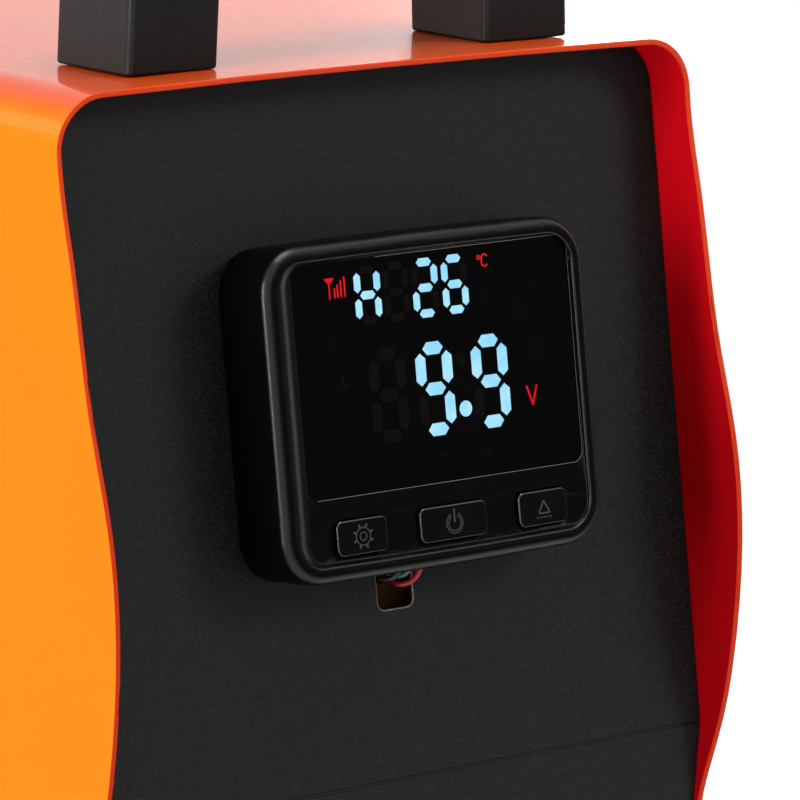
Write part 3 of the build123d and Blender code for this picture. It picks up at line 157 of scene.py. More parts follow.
def feed(tree: NodeTree, node: Node, feeds: Feeds) -> None:
    """Fill a node's inputs.

    Args:
        tree: The node's tree.
        node: The node.
        feeds: A socket to link or a constant for each input, by its name or number.
    """
    for key, value in feeds.items():
        if isinstance(value, Socket):
            tree.links.new(value, node.inputs[key])
        else:
            node.inputs[key].default_value = value


def add_node(tree: NodeTree, kind: str, feeds: Feeds, out: str | int = 0,
             **settings: str) -> Socket:
    """Add a shader node.

    Args:
        tree: The tree that it joins.
        kind: Its type.
        feeds: A socket to link or a constant for each input that changes.
        out: The output that is wanted, by its name or number.
        settings: Its own settings, such as its operation.

    Returns:
        The output's socket.
    """
    node = tree.nodes.new(kind)
    for name, value in settings.items():
        setattr(node, name, value)
    feed(tree, node, feeds)
    return node.outputs[out]


# ---- finishes

class ShaderSheet:
    """A material being laid out: its Principled shader and the texture nodes that feed it."""

    def __init__(self, name: str, colour: Colour, roughness: float) -> None:
        """Start a material with a plain colour and roughness.

        Args:
            name: The material's name.
            colour: Base colour, linear.
            roughness: Roughness from 0 to 1.
        """
        self.material = bpy.data.materials.new(name)
        self.material.use_nodes = True
        self.tree = self.material.node_tree
        self.surface = self.tree.nodes["Principled BSDF"]
        self.set({"Base Color": colour, "Roughness": roughness})
        where = self.tree.nodes.new("ShaderNodeTexCoord").outputs
        self.place, self.facing = where["Object"], where["Normal"]

    def set(self, feeds: Feeds) -> None:
        """Feed the Principled shader's own inputs."""
        feed(self.tree, self.surface, feeds)

    def noise(self, size: float, detail: float = 2.0, rough: float = 0.5,
              stretch: Point3 = (1.0, 1.0, 1.0)) -> Socket:
        """Lay a noise texture in the object's own space.

        Args:
            size: Size of its blotches in metres.
            detail: Octaves of finer noise.
            rough: Weight of those octaves.
            stretch: How much longer the blotches are along X, Y and Z.

        Returns:
            The noise value's socket, around 0.5.
        """
        mapped = add_node(self.tree, "ShaderNodeMapping",
                          {"Vector": self.place, "Scale": tuple(1.0 / times for times in stretch)})
        return add_node(self.tree, "ShaderNodeTexNoise", {
            "Vector": mapped, "Scale": 1.0 / size, "Detail": detail, "Roughness": rough})

    def span(self, value: Socket, low: float, high: float,
             out_low: float = 0.0, out_high: float = 1.0) -> Socket:
        """Map a stretch of values onto another, with soft ends.

        Args:
            value: The socket to read.
            low: Value that becomes out_low.
            high: Value that becomes out_high.
            out_low: Lowest result.
            out_high: Highest result.

        Returns:
            The mapped value's socket.
        """
        return add_node(self.tree, "ShaderNodeMapRange", {
            "Value": value, "From Min": low, "From Max": high, "To Min": out_low, "To Max": out_high},
            interpolation_type="SMOOTHSTEP")

    def blend(self, factor: Socket, first: Colour | Socket,
              second: Colour | Socket) -> Socket:
        """Mix two colours.

        Args:
            factor: Socket of the second colour's share.
            first: A colour or its socket.
            second: A colour or its socket.

        Returns:
            The mixed colour's socket.
        """
        return add_node(self.tree, "ShaderNodeMix", dict(zip(MIX_INPUTS, (factor, first, second))),
                        MIX_RESULT, data_type="RGBA")

    def along(self, vector: Socket, direction: Point3) -> Socket:
        """Measure a vector along a direction.

        Args:
            vector: The vector's socket, in the object's own space.
            direction: The direction, about 1 long.

        Returns:
            The socket of its length along the direction.
        """
        return add_node(self.tree, "ShaderNodeVectorMath", {0: vector, 1: direction}, "Value",
                        operation="DOT_PRODUCT")

    def polish_edges(self, flat: float, edge: float) -> None:
        """Make the piece shinier where it curves away from the front panel's direction.

        Args:
            flat: Specular level of faces that lie along the panel or stand square to it.
            edge: Specular level of rounded edges between them.
        """
        out = self.along(self.facing, PANEL_OUT)
        outward = self.span(out, *OUTWARD_LEAN, 0.0, edge - flat)
        level = add_node(self.tree, "ShaderNodeMath", {
            0: self.span(out, *PANEL_LEAN), 1: outward, 2: flat}, operation="MULTIPLY_ADD")
        self.set({"Specular IOR Level": level})

    def polish_toward(self, direction: Point3, flat: float, leaning: float) -> None:
        """Make the piece shinier where it leans towards a direction.

        Args:
            direction: The direction, in the object's own space.
            flat: Specular level of faces that don't lean towards it.
            leaning: Specular level of faces that lean by 25 degrees or more.
        """
        level = self.span(self.along(self.facing, direction), *TOWARD_LEAN, flat, leaning)
        self.set({"Specular IOR Level": level})

    def raise_relief(self, height: Socket, depth: float, strength: float) -> None:
        """Give the surface a bump.

        Args:
            height: Socket of the height, from 0 to 1.
            depth: Height of the relief in metres.
            strength: Weight of the bump.
        """
        self.set({"Normal": add_node(self.tree, "ShaderNodeBump", {
            "Strength": strength, "Distance": depth, "Height": height})})


@dataclass(frozen=True)
class Finish:
    """What a surface is coated with or made of; each kind adds its look to a plain sheet."""

    name: str
    colour: Colour
    roughness: float

    def lay(self, sheet: ShaderSheet) -> None:
        """Add the finish's look to a sheet."""

    def make(self) -> Material:
        """Build the finish's material.

        Returns:
            The material.
        """
        sheet = ShaderSheet(self.name, self.colour, self.roughness)
        self.lay(sheet)
        return sheet.material


@dataclass(frozen=True)
class GlossPaint(Finish):
    """Smooth gloss coat on sheet metal, with a faint orange-peel and fine dust, and painted light and shade:
    a redder top than the lit sides, and darker low down.
    """

    # The top's colour and the low parts' colour: painted light and shade against the lit side colour.
    top: Colour
    low: Colour
    side_coat: float = 0.06
    top_coat: float = 0.61
    specular: float = 0.03
    coat_roughness: float = 0.06
    coat_index: float = 1.45
    top_shade_lean: Point2 = (0.40, 0.96)
    coat_lean: Point2 = (0.55, 0.99)
    low_shade_heights: Point2 = (0.27, 0.345)
    cloud_size: float = 0.11
    cloud_shade: float = 0.70
    dust_size: float = 0.004
    peel_size: float = 0.0035
    peel_depth: float = 0.00002

    def lay(self, sheet: ShaderSheet) -> None:
        """Lay the paint.

        Args:
            sheet: The plain sheet.
        """
        # Painted light: the base turns from the lit side colour to the redder top colour as the face leans
        # upward.
        lean = sheet.along(sheet.facing, UPWARD)
        # Painted shade: the side colour darkens to the low colour towards the bottom.
        height = sheet.span(sheet.along(sheet.place, UPWARD), *self.low_shade_heights)
        side = sheet.blend(height, self.low, self.colour)
        base = sheet.blend(sheet.span(lean, *self.top_shade_lean), side, self.top)
        cloud = sheet.span(sheet.noise(self.cloud_size, 3.0), 0.35, 0.7, 0.0, 0.10)
        dust = sheet.noise(self.dust_size)
        sheet.set({
            "Specular IOR Level": self.specular, "Coat IOR": self.coat_index,
            "Coat Roughness": self.coat_roughness,
            "Coat Weight": sheet.span(lean, *self.coat_lean, self.side_coat, self.top_coat),
            "Base Color": sheet.blend(cloud, base, scaled(self.colour, self.cloud_shade)),
            "Roughness": sheet.span(dust, 0.3, 0.75, self.roughness - 0.04, self.roughness + 0.05)})
        sheet.raise_relief(sheet.noise(self.peel_size, 1.0), self.peel_depth, 0.4)


@dataclass(frozen=True)
class TexturedPowder(Finish):
    """Matt powder coat with a fine pebbled grain."""

    grain: float = 0.0007
    depth: float = 0.00010
    specular: float = 0.11
    cloud_size: float = 0.07
    cloud_shade: float = 0.82
    speck_span: Point2 = (0.42, 0.66)
    speck_light: float = 2.8

    def lay(self, sheet: ShaderSheet) -> None:
        """Lay the coat.

        Args:
            sheet: The plain sheet.
        """
        pebbles = sheet.noise(self.grain, 2.0, 0.55)
        cloud = sheet.span(sheet.noise(self.cloud_size), *NOISE_SPAN, 0.0, 0.5)
        base = sheet.blend(cloud, self.colour, scaled(self.colour, self.cloud_shade))
        specks = sheet.span(pebbles, *self.speck_span, 0.0, 0.6)
        sheet.set({
            "Specular IOR Level": self.specular,
            "Base Color": sheet.blend(specks, base, scaled(self.colour, self.speck_light)),
            "Roughness": sheet.span(pebbles, *NOISE_SPAN, self.roughness - 0.06, self.roughness + 0.08)})
        sheet.raise_relief(pebbles, self.depth, 0.6)


@dataclass(frozen=True)
class Moulding(Finish):
    """Moulded plastic or rubber with a fine spark-eroded grain."""

    grain: float = 0.0006
    depth: float = 0.00003
    specular: float = 0.4
    coat: float = 0.0
    translucent: float = 0.0
    edge_specular: float = 0.0
    shine_toward: Point3 | None = None
    worn_size: float = 0.018
    worn_span: Point2 = (0.45, 0.75)
    worn_light: float = 1.35
    handled_size: float = 0.006
    coat_roughness: float = 0.12
    scatter_scale: float = 0.5
    scatter_radius: Point3 = (0.01, 0.01, 0.008)

    def lay(self, sheet: ShaderSheet) -> None:
        """Lay the moulded surface.

        Args:
            sheet: The plain sheet.
        """
        worn = sheet.span(sheet.noise(self.worn_size, 3.0), *self.worn_span, 0.0, 0.5)
        handled = sheet.noise(self.handled_size)
        sheet.set({
            "Specular IOR Level": self.specular, "Coat Weight": self.coat,
            "Coat Roughness": self.coat_roughness,
            "Base Color": sheet.blend(worn, self.colour, scaled(self.colour, self.worn_light)),
            "Roughness": sheet.span(handled, *NOISE_SPAN, self.roughness - 0.05, self.roughness + 0.06)})
        if self.shine_toward:
            sheet.polish_toward(self.shine_toward, self.specular, self.edge_specular)
        elif self.edge_specular:
            sheet.polish_edges(self.specular, self.edge_specular)
        if self.translucent:
            sheet.set({"Subsurface Weight": self.translucent, "Subsurface Scale": self.scatter_scale,
                       "Subsurface Radius": self.scatter_radius})
        sheet.raise_relief(sheet.noise(self.grain), self.depth, 0.6)


class MetalGrain(Enum):
    """How a metal was made: noise of its marks and of its relief, and the relief's depth and weight."""

    CAST = ((0.012, 3.0), (0.0012, 4.0, 0.65), 0.00015, 0.8)
    DRAWN = ((0.0008, 2.0, 0.5, (1.0, 1.0, 30.0)), (0.0008, 2.0, 0.5, (1.0, 1.0, 30.0)), 0.00002, 0.4)
    ROLLED = ((0.006, 4.0, 0.6, (1.0, 3.0, 3.0)), (0.0008,), 0.00002, 0.4)
    TURNED = ((0.0006, 2.0, 0.5, (12.0, 1.0, 12.0)), (0.0006, 2.0, 0.5, (12.0, 1.0, 12.0)), 0.00002, 0.4)


@dataclass(frozen=True)
class Metal(Finish):
    """Bare or plated metal with the marks of how it was made."""

    grain: MetalGrain
    mark_shade: float = 0.72

    def lay(self, sheet: ShaderSheet) -> None:
        """Lay the bare metal.

        Args:
            sheet: The plain sheet.
        """
        mark_noise, relief_noise, depth, weight = self.grain.value
        marks = sheet.noise(*mark_noise)
        shade = sheet.span(marks, *NOISE_SPAN)
        sheet.set({
            "Metallic": 1.0,
            "Base Color": sheet.blend(shade, self.colour, scaled(self.colour, self.mark_shade)),
            "Roughness": sheet.span(marks, *NOISE_SPAN, self.roughness - 0.08, self.roughness + 0.10)})
        sheet.raise_relief(sheet.noise(*relief_noise), depth, weight)


@dataclass(frozen=True)
class WindowGlass(Finish):
    """Polished black display window."""

    specular: float = 0.02
    edge_specular: float = 0.35
    haze_size: float = 0.02
    haze_span: Point2 = (0.4, 0.8)
    haze_roughness: Point2 = (0.08, 0.16)
    haze_light: float = 1.6

    def lay(self, sheet: ShaderSheet) -> None:
        """Lay the glass.

        Args:
            sheet: The plain sheet.
        """
        haze = sheet.span(sheet.noise(self.haze_size, 3.0), *self.haze_span)
        sheet.set({"Roughness": sheet.span(haze, 0.0, 1.0, *self.haze_roughness),
                   "Base Color": sheet.blend(haze, self.colour, scaled(self.colour, self.haze_light))})
        sheet.polish_edges(self.specular, self.edge_specular)


@dataclass(frozen=True)
class LitInk(Finish):
    """A display mark that glows by itself."""

    dimmer: Colour
    unlit_share: float = 0.01
    specular: float = 0.02
    patch_size: float = 0.0045
    patch_span: Point2 = (0.35, 0.7)

    def lay(self, sheet: ShaderSheet) -> None:
        """Lay the glow.

        Args:
            sheet: The plain sheet.
        """
        patch = sheet.span(sheet.noise(self.patch_size), *self.patch_span)
        sheet.set({"Base Color": scaled(self.colour, self.unlit_share),
                   "Emission Color": sheet.blend(patch, self.colour, self.dimmer),
                   "Emission Strength": 1.0, "Specular IOR Level": self.specular})


FINISHES: dict[str, Finish] = {finish.name: finish for finish in (
    # The wrap's paint in three copies, orange on the lit outside, redder on the cut edges and deep red
    # inside, with redder tops and darker low parts: painted light and shade.
    GlossPaint("orange_paint", srgb(238, 124, 8), 0.34, srgb(208, 74, 24), srgb(238, 124, 8)),
    GlossPaint("edge_paint_shaded", srgb(202, 60, 26), 0.34, srgb(196, 50, 22), srgb(190, 48, 22), 0.06, 0.2),
    GlossPaint("inner_paint_shaded", srgb(208, 8, 22), 0.40, srgb(208, 8, 22), srgb(150, 3, 11), 0.06, 0.2),
    TexturedPowder("black_paint", srgb(19, 19, 19), 0.50),
    # A brown sheet behind the wire slot: painted light, the orange glow bounced inside the case.
    Moulding("slot_bounce_paint", srgb(70, 42, 22), 0.9, 0.0007, 0.00006, 0.05),
    # Pale rim of the wire slot: a painted highlight.
    TexturedPowder("slot_rim_highlight", srgb(96, 92, 86), 0.35, 0.0009, 0.00002, 0.4),
    Metal("zinc_sheet", srgb(196, 199, 202), 0.38, MetalGrain.ROLLED),
    Moulding("foot_rubber", srgb(34, 34, 34), 0.75, 0.0008, 0.00006, 0.25),
    Metal("screw_steel", srgb(186, 186, 184), 0.30, MetalGrain.TURNED),
    Moulding("black_screw", srgb(26, 26, 27), 0.35, 0.0004, 0.00002, 0.5),
    Moulding("handle_plastic", srgb(21, 19, 18), 0.44, 0.0011, 0.00010, 0.09,
             edge_specular=0.26, shine_toward=(-1.0, 0.0, 0.0)),
    Moulding("controller_plastic", srgb(8, 8, 7), 0.30, 0.0005, 0.00001, 0.012,
             edge_specular=0.34),
    Moulding("slope_plastic", srgb(6, 6, 6), 0.30, 0.0005, 0.00001, 0.04,
             edge_specular=1.0, shine_toward=(0.97, 0.20, -0.12)),
    Moulding("key_plastic", srgb(4, 4, 4), 0.28, 0.0005, 0.00001, 0.03, edge_specular=0.9),
    # Pale grey of the key icons: a painted highlight on the raised relief of black plastic.
    Moulding("icon_painted_highlight", srgb(48, 48, 48), 0.26, 0.0005, 0.00001, 0.3),
    # Pale line along the window's edges: a painted highlight.
    Moulding("window_edge_highlight", srgb(112, 110, 105), 0.3, 0.0005, 0.00001, 0.3),
    WindowGlass("display_glass", srgb(2, 2, 2), 0.12),
    LitInk("lit_digit", srgb(174, 234, 255), 0.4, srgb(148, 219, 253)),
    LitInk("lit_symbol", srgb(240, 24, 34), 0.4, srgb(196, 10, 24)),
    # Faint glow of the unlit segments and signs: a painted glow standing in for the little light they catch.
    LitInk("unlit_digit_glow", srgb(12, 9, 7), 0.4, srgb(8, 7, 6)),
    Moulding("display_body", srgb(60, 60, 64), 0.4),
    Moulding("board_green", srgb(22, 92, 50), 0.35, 0.0009, 0.00002, 0.5, 0.4),
    Moulding("silicone", srgb(140, 142, 144), 0.6),
    Moulding("wire_red", srgb(168, 12, 36), 0.38, 0.0005, 0.00001, 0.5),
    Moulding("wire_green", srgb(34, 104, 92), 0.38, 0.0005, 0.00001, 0.5),
    Moulding("wire_black", srgb(24, 24, 25), 0.42, 0.0005, 0.00001, 0.5),
    Moulding("plug_plastic", srgb(226, 221, 204), 0.4),
    Moulding("vent_plastic", srgb(28, 28, 29), 0.46, 0.0007, 0.00004, 0.4),
    Moulding("unit_plastic", srgb(50, 51, 54), 0.5, 0.0008, 0.00005, 0.4),
    Metal("cast_aluminium", srgb(186, 188, 190), 0.48, MetalGrain.CAST),
    Metal("stainless", srgb(192, 188, 182), 0.28, MetalGrain.DRAWN),
    Metal("igniter", srgb(206, 202, 190), 0.3, MetalGrain.TURNED),
    Metal("motor_steel", srgb(178, 180, 184), 0.3, MetalGrain.DRAWN),
    Moulding("fan_plastic", srgb(176, 176, 170), 0.5),
    Moulding("fibre_gasket", srgb(104, 104, 98), 0.9, 0.0007, 0.00008, 0.2),
    Moulding("tank_plastic", srgb(226, 225, 214), 0.42, 0.0016, 0.00005, 0.45, 0.0, 0.3),
    Moulding("cap_plastic", srgb(27, 27, 28), 0.48, 0.0007, 0.00004, 0.4),
    Moulding("seal_rubber", srgb(32, 32, 33), 0.7, 0.0007, 0.00004, 0.25),
    Moulding("filter_plastic", srgb(222, 219, 203), 0.22, 0.0009, 0.00002, 0.5, 0.5, 0.3),
    Moulding("hose_rubber", srgb(30, 30, 31), 0.6, 0.0007, 0.00004, 0.3),
)}


@functools.cache
def finish_material(name: str) -> Material:
    """Return the material of a finish, made on first use."""
    return FINISHES[name].make()


# ---- places on the front panel

def panel_place(x: float, drop: float, depth: float) -> Matrix:
    """Find a place on the upper front panel from the display window, which lies along it.

    Args:
        x: Place across the panel, in millimetres like the others.
        drop: Place down the panel from the case's top.
        depth: Height above the panel's face.

    Returns:
        A placement with X right, Y up the panel and Z out of it.
    """
    low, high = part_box("display_glass")
    out, up = Vector(PANEL_OUT), Vector((0.0, sin(PANEL_TILT), cos(PANEL_TILT)))
    turn = Matrix((up.cross(out), up, out)).transposed().to_4x4()
    shift = Vector((x - WINDOW_PLACE[0], WINDOW_PLACE[1] - drop, depth - WINDOW_PLACE[2])) * MM
    return Matrix.Translation((low + high) / 2) @ turn @ Matrix.Translation(shift)


# ---- softened copies of the model's nodes

class Zones:
    """Coats of the different faces of one piece; the first is the piece's own finish."""

    finishes: tuple[str, ...] = ("",)

    def coat_of(self, normal: Vector, middle: Vector) -> int:
        """Return the number of a face's coat from its normal and its middle."""
        return 0

    def coat_of_edge(self, normal: Vector, middle: Vector) -> int:
        """Return the number of a rounded edge's coat from its normal and its middle."""
        return 0


@dataclass(frozen=True)
class WrapZones(Zones):
    """The wrap's paint is orange outside and redder on its cut edges and inside: painted light and shade, the
    outside lit and the edges and inside shaded.
    """

    finishes: tuple[str, ...] = ("orange_paint", "edge_paint_shaded", "inner_paint_shaded")
    edge_lean: float = 0.3
    skin_lean: float = 0.75
    centre_height: float = 0.34

    def outward(self, normal: Vector, middle: Vector) -> bool:
        """Tell whether a face looks away from the case's middle."""
        return normal.x * middle.x + normal.z * max(middle.z - self.centre_height, 0.0) > 0.0

    def coat_of(self, normal: Vector, middle: Vector) -> int:
        """Return 0 outside, 1 on the cut edges and 2 inside."""
        skin = 0 if self.outward(normal, middle) else 2
        return 1 if abs(normal.y) > self.edge_lean else skin

    def coat_of_edge(self, normal: Vector, middle: Vector) -> int:
        """Return 0 where the rounding runs into the outer skin, and else 1."""
        return 0 if abs(normal.y) < self.skin_lean and self.outward(normal, middle) else 1


@dataclass(frozen=True)
class PanelZones(Zones):
    """The rim of the front panel's wire slot is painted pale: a painted highlight where its rounded edge
    catches light.
    """

    finishes: tuple[str, ...] = ("black_paint", "slot_rim_highlight")
    slot_low: Point3 = (-0.0052, -0.185, 0.248)
    slot_high: Point3 = (0.0068, -0.170, 0.275)

    def coat_of_edge(self, normal: Vector, middle: Vector) -> int:
        """Return 1 on the slot's rim."""
        inside = all(low < value < high for low, value, high
                     in zip(self.slot_low, middle, self.slot_high))
        return 1 if inside else 0


@dataclass(frozen=True)
class EdgeRounding:
    """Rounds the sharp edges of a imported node, as paint, moulding or tumbling leaves them."""

    radius: float = 0.0004
    steps: int = 2
    sharp_angle: float = radians(32)
    shading_angle: float = radians(38)
    groove_height: float = -1.0
    groove_margin: float = 0.0012
    weld: float = 0.000002
    flat_angle: float = radians(0.4)

    def is_sharp(self, edge: bmesh.types.BMEdge) -> bool:
        """Tell whether an edge is sharp and outside the groove that keeps its edges."""
        kept = abs(((edge.verts[0].co + edge.verts[1].co) / 2).z - self.groove_height) < self.groove_margin
        return not kept and len(edge.link_faces) == 2 and edge.calc_face_angle(0.0) > self.sharp_angle

    def copy_of(self, node: str, name: str, zones: Zones = Zones()) -> None:
        """Make a copy of a node with rounded edges that stands for it.

        Args:
            node: The node's name.
            name: The new piece's name.
            zones: Coats of its different faces; one finish by its material slot if left out.
        """
        source = frame["nodes"][node]
        mesh = source.data.copy()
        mesh.name = name
        shell = bmesh.new()
        shell.from_mesh(mesh)
        bmesh.ops.remove_doubles(shell, verts=shell.verts, dist=self.weld)
        if self.radius > 0.0:
            bmesh.ops.dissolve_limit(shell, angle_limit=self.flat_angle, verts=shell.verts,
                                     edges=shell.edges)
        for face in shell.faces:
            face.material_index = zones.coat_of(face.normal, face.calc_center_median())
        sharp = [edge for edge in shell.edges if self.radius > 0.0 and self.is_sharp(edge)]
        rounded = bmesh.ops.bevel(shell, geom=sharp, offset=self.radius, offset_type="OFFSET",
                                  segments=self.steps, profile=0.5, affect="EDGES",
                                  clamp_overlap=False, harden_normals=False)
        for face in rounded["faces"]:
            face.material_index = zones.coat_of_edge(face.normal, face.calc_center_median())
        own_slot = material_slot(node)
        mesh.materials.clear()
        for finish in (own_slot, *zones.finishes[1:]):
            mesh.materials.append(finish_material(finish))
        shell.to_mesh(mesh)
        shell.free()
        piece = place_object(name, mesh)
        smooth_shading(piece, self.shading_angle)
        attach(piece, frame["nodes"][node]["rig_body"])
        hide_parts(node)


def material_slot(node: str) -> str:
    """Return the record's material slot of a node."""
    return next(part["material_slot"] for part in frame["record"]["subparts"] if part["node"] == node)


def smooth_shading(piece: Object, angle: float) -> None:
    """Shade a piece smooth below an angle, with flat faces kept flat.

    Args:
        piece: The mesh object.
        angle: Edges sharper than this stay hard, in radians.
    """
    mesh = piece.data
    mesh.polygons.foreach_set("use_smooth", [True] * len(mesh.polygons))
    mesh.set_sharp_from_angle(angle=angle)
    weighted = piece.modifiers.new("flat_faces", "WEIGHTED_NORMAL")
    weighted.keep_sharp = True
    weighted.weight = 100


def dress(piece: Object, finish: str) -> None:
    """Give a piece one finish."""
    piece.data.materials.clear()
    piece.data.materials.append(finish_material(finish))


# ---- flat shapes on the display and the keys

@dataclass
class FlatShapes:
    """Flat raised shapes on one plane, gathered into one piece.

    Lengths of the shapes are in millimetres. Their outlines go anticlockwise.
    """

    name: str
    placement: Matrix
    height: float
    outlines: list[list[Point2]] = field(default_factory=list)
    arc_step: float = 12.0
    disc_steps: int = 24

    def bar(self, start: Point2, end: Point2, width: float) -> None:
        """Add a straight bar.

        Args:
            start: Middle of one end.
            end: Middle of the other end.
            width: The bar's width.
        """
        along = Vector(end) - Vector(start)
        across = Vector((-along.y, along.x)).normalized() * width / 2
        first, last = Vector(start), Vector(end)
        corners = (first - across, last - across, last + across, first + across)
        self.outlines.append([(corner.x, corner.y) for corner in corners])

    def arc(self, centre: Point2, radius: float, width: float, start: float = 0.0,
            sweep: float = 360.0) -> None:
        """Add a ring or a part of one, as a row of short pieces.

        Args:
            centre: The ring's centre.
            radius: Radius of the ring's middle line.
            width: The ring's width.
            start: Start angle in degrees, 0 to the right.
            sweep: Angle it covers in degrees.
        """
        count = max(4, round(sweep / self.arc_step))
        inner, outer = radius - width / 2, radius + width / 2
        for number in range(count):
            first, last = (radians(start + sweep * step / count) for step in (number, number + 1))
            corners = ((first, inner), (first, outer), (last, outer), (last, inner))
            self.outlines.append([(centre[0] + cos(angle) * reach, centre[1] + sin(angle) * reach)
                                  for angle, reach in corners])

    def draw(self, bars: tuple[Bar, ...], arcs: tuple[Arc, ...]) -> None:
        """Add the bars and arcs of a sign.

        Args:
            bars: Both ends and the width of each bar.
            arcs: Centre, radius and width of each ring, with start and sweep if it is a part of one.
        """
        for bar in bars:
            self.bar(*bar)
        for arc in arcs:
            self.arc(*arc)

    def disc(self, centre: Point2, radius: float) -> None:
        """Add a round dot."""
        turns = [2 * pi * step / self.disc_steps for step in range(self.disc_steps)]
        self.outlines.append([(centre[0] + radius * cos(turn), centre[1] + radius * sin(turn))
                              for turn in turns])

    def make(self, finish: str, body: str, slot: str) -> None:
        """Build the piece.

        Args:
            finish: Its finish.
            body: The body that it rides on.
            slot: A material slot name; not used.
        """
        shell = bmesh.new()
        for outline in self.outlines:
            low_ring, top_ring = ([shell.verts.new(self.placement @ Vector((x * MM, y * MM, height)))
                                   for x, y in outline] for height in (0.0, self.height))
            shell.faces.new(top_ring)
            shell.faces.new(list(reversed(low_ring)))
            for number in range(len(outline)):
                after = (number + 1) % len(outline)
                shell.faces.new((low_ring[number], low_ring[after], top_ring[after], top_ring[number]))
        piece = place_shell(self.name, shell)
        dress(piece, finish)
        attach(piece, body)


SEGMENT_ENDS: dict[str, tuple[Point2, Point2]] = {
    "a": ((-1, 1), (1, 1)), "b": ((1, 0), (1, 1)), "c": ((1, -1), (1, 0)), "d": ((-1, -1), (1, -1)),
    "e": ((-1, -1), (-1, 0)), "f": ((-1, 0), (-1, 1)), "g": ((-1, 0), (1, 0))}


@dataclass(frozen=True)
class SegmentCell:
    """One seven-segment figure of a display, in millimetres from the glass's middle."""

    centre: Point2
    width: float
    pitch: float
    stroke: float
    end_gap: float
    slant: float = 0.42

    def outlines(self, lit: str) -> list[list[Point2]]:
        """Draw segments.

        Args:
            lit: Letters of the segments, a on top and going round clockwise to f, g in the middle.

        Returns:
            One six-cornered outline for each letter.
        """
        drawn = []
        for letter in lit:
            start, end = (Vector((self.centre[0] + across * self.width / 2, self.centre[1] + up * self.pitch))
                          for across, up in SEGMENT_ENDS[letter])
            along = (end - start).normalized()
            side = Vector((-along.y, along.x)) * self.stroke / 2
            first, last = start + along * self.end_gap, end - along * self.end_gap
            slope = along * self.stroke * self.slant
            corners = (first, first + slope - side, last - slope - side,
                       last, last - slope + side, first + slope + side)
            drawn.append([(corner.x, corner.y) for corner in corners])
        return drawn


# ---- studio and camera

@dataclass(frozen=True)
class PhotoCamera:
    """The camera that took the reference view."""

    place: Point3 = (-0.8470, -1.23925, 0.5708)
    azimuth: float = radians(38.627)
    pitch: float = radians(11.172)
    roll: float = radians(-0.706)
    lens: float = 256.0
    sensor: float = 36.0
    near: float = 0.05
    far: float = 60.0

    def make(self) -> None:
        """Create the camera and make it the scene's own."""
        forward = Vector((sin(self.azimuth) * cos(self.pitch),
                          cos(self.azimuth) * cos(self.pitch), -sin(self.pitch)))
        level = Vector((cos(self.azimuth), -sin(self.azimuth), 0.0))
        down = forward.cross(level)
        right = cos(self.roll) * level + sin(self.roll) * down
        lower = -sin(self.roll) * level + cos(self.roll) * down
        turn = Matrix((right, -lower, -forward)).transposed()
        data = bpy.data.cameras.new("photo_camera")
        data.lens = self.lens
        data.sensor_width = self.sensor
        data.sensor_fit = "HORIZONTAL"
        data.clip_start = self.near
        data.clip_end = self.far
        camera = place_object("photo_camera", data)
        camera.matrix_world = Matrix.Translation(self.place) @ turn.to_4x4()
        bpy.context.scene.camera = camera


@dataclass(frozen=True)
class Softbox:
    """A rectangular studio lamp aimed at a point."""

    name: str
    place: Point3
    aim: Point3
    width: float
    height: float
    power: float

    def make(self) -> None:
        """Create the lamp."""
        data = bpy.data.lights.new(self.name, "AREA")
        data.shape = "RECTANGLE"
        data.size = self.width
        data.size_y = self.height
        data.energy = self.power
        lamp = place_object(self.name, data)
        toward = Vector(self.aim) - Vector(self.place)
        lamp.rotation_mode = "QUATERNION"
        lamp.rotation_quaternion = toward.to_track_quat("-Z", "Y")
        lamp.location = self.place
        lamp.visible_camera = False


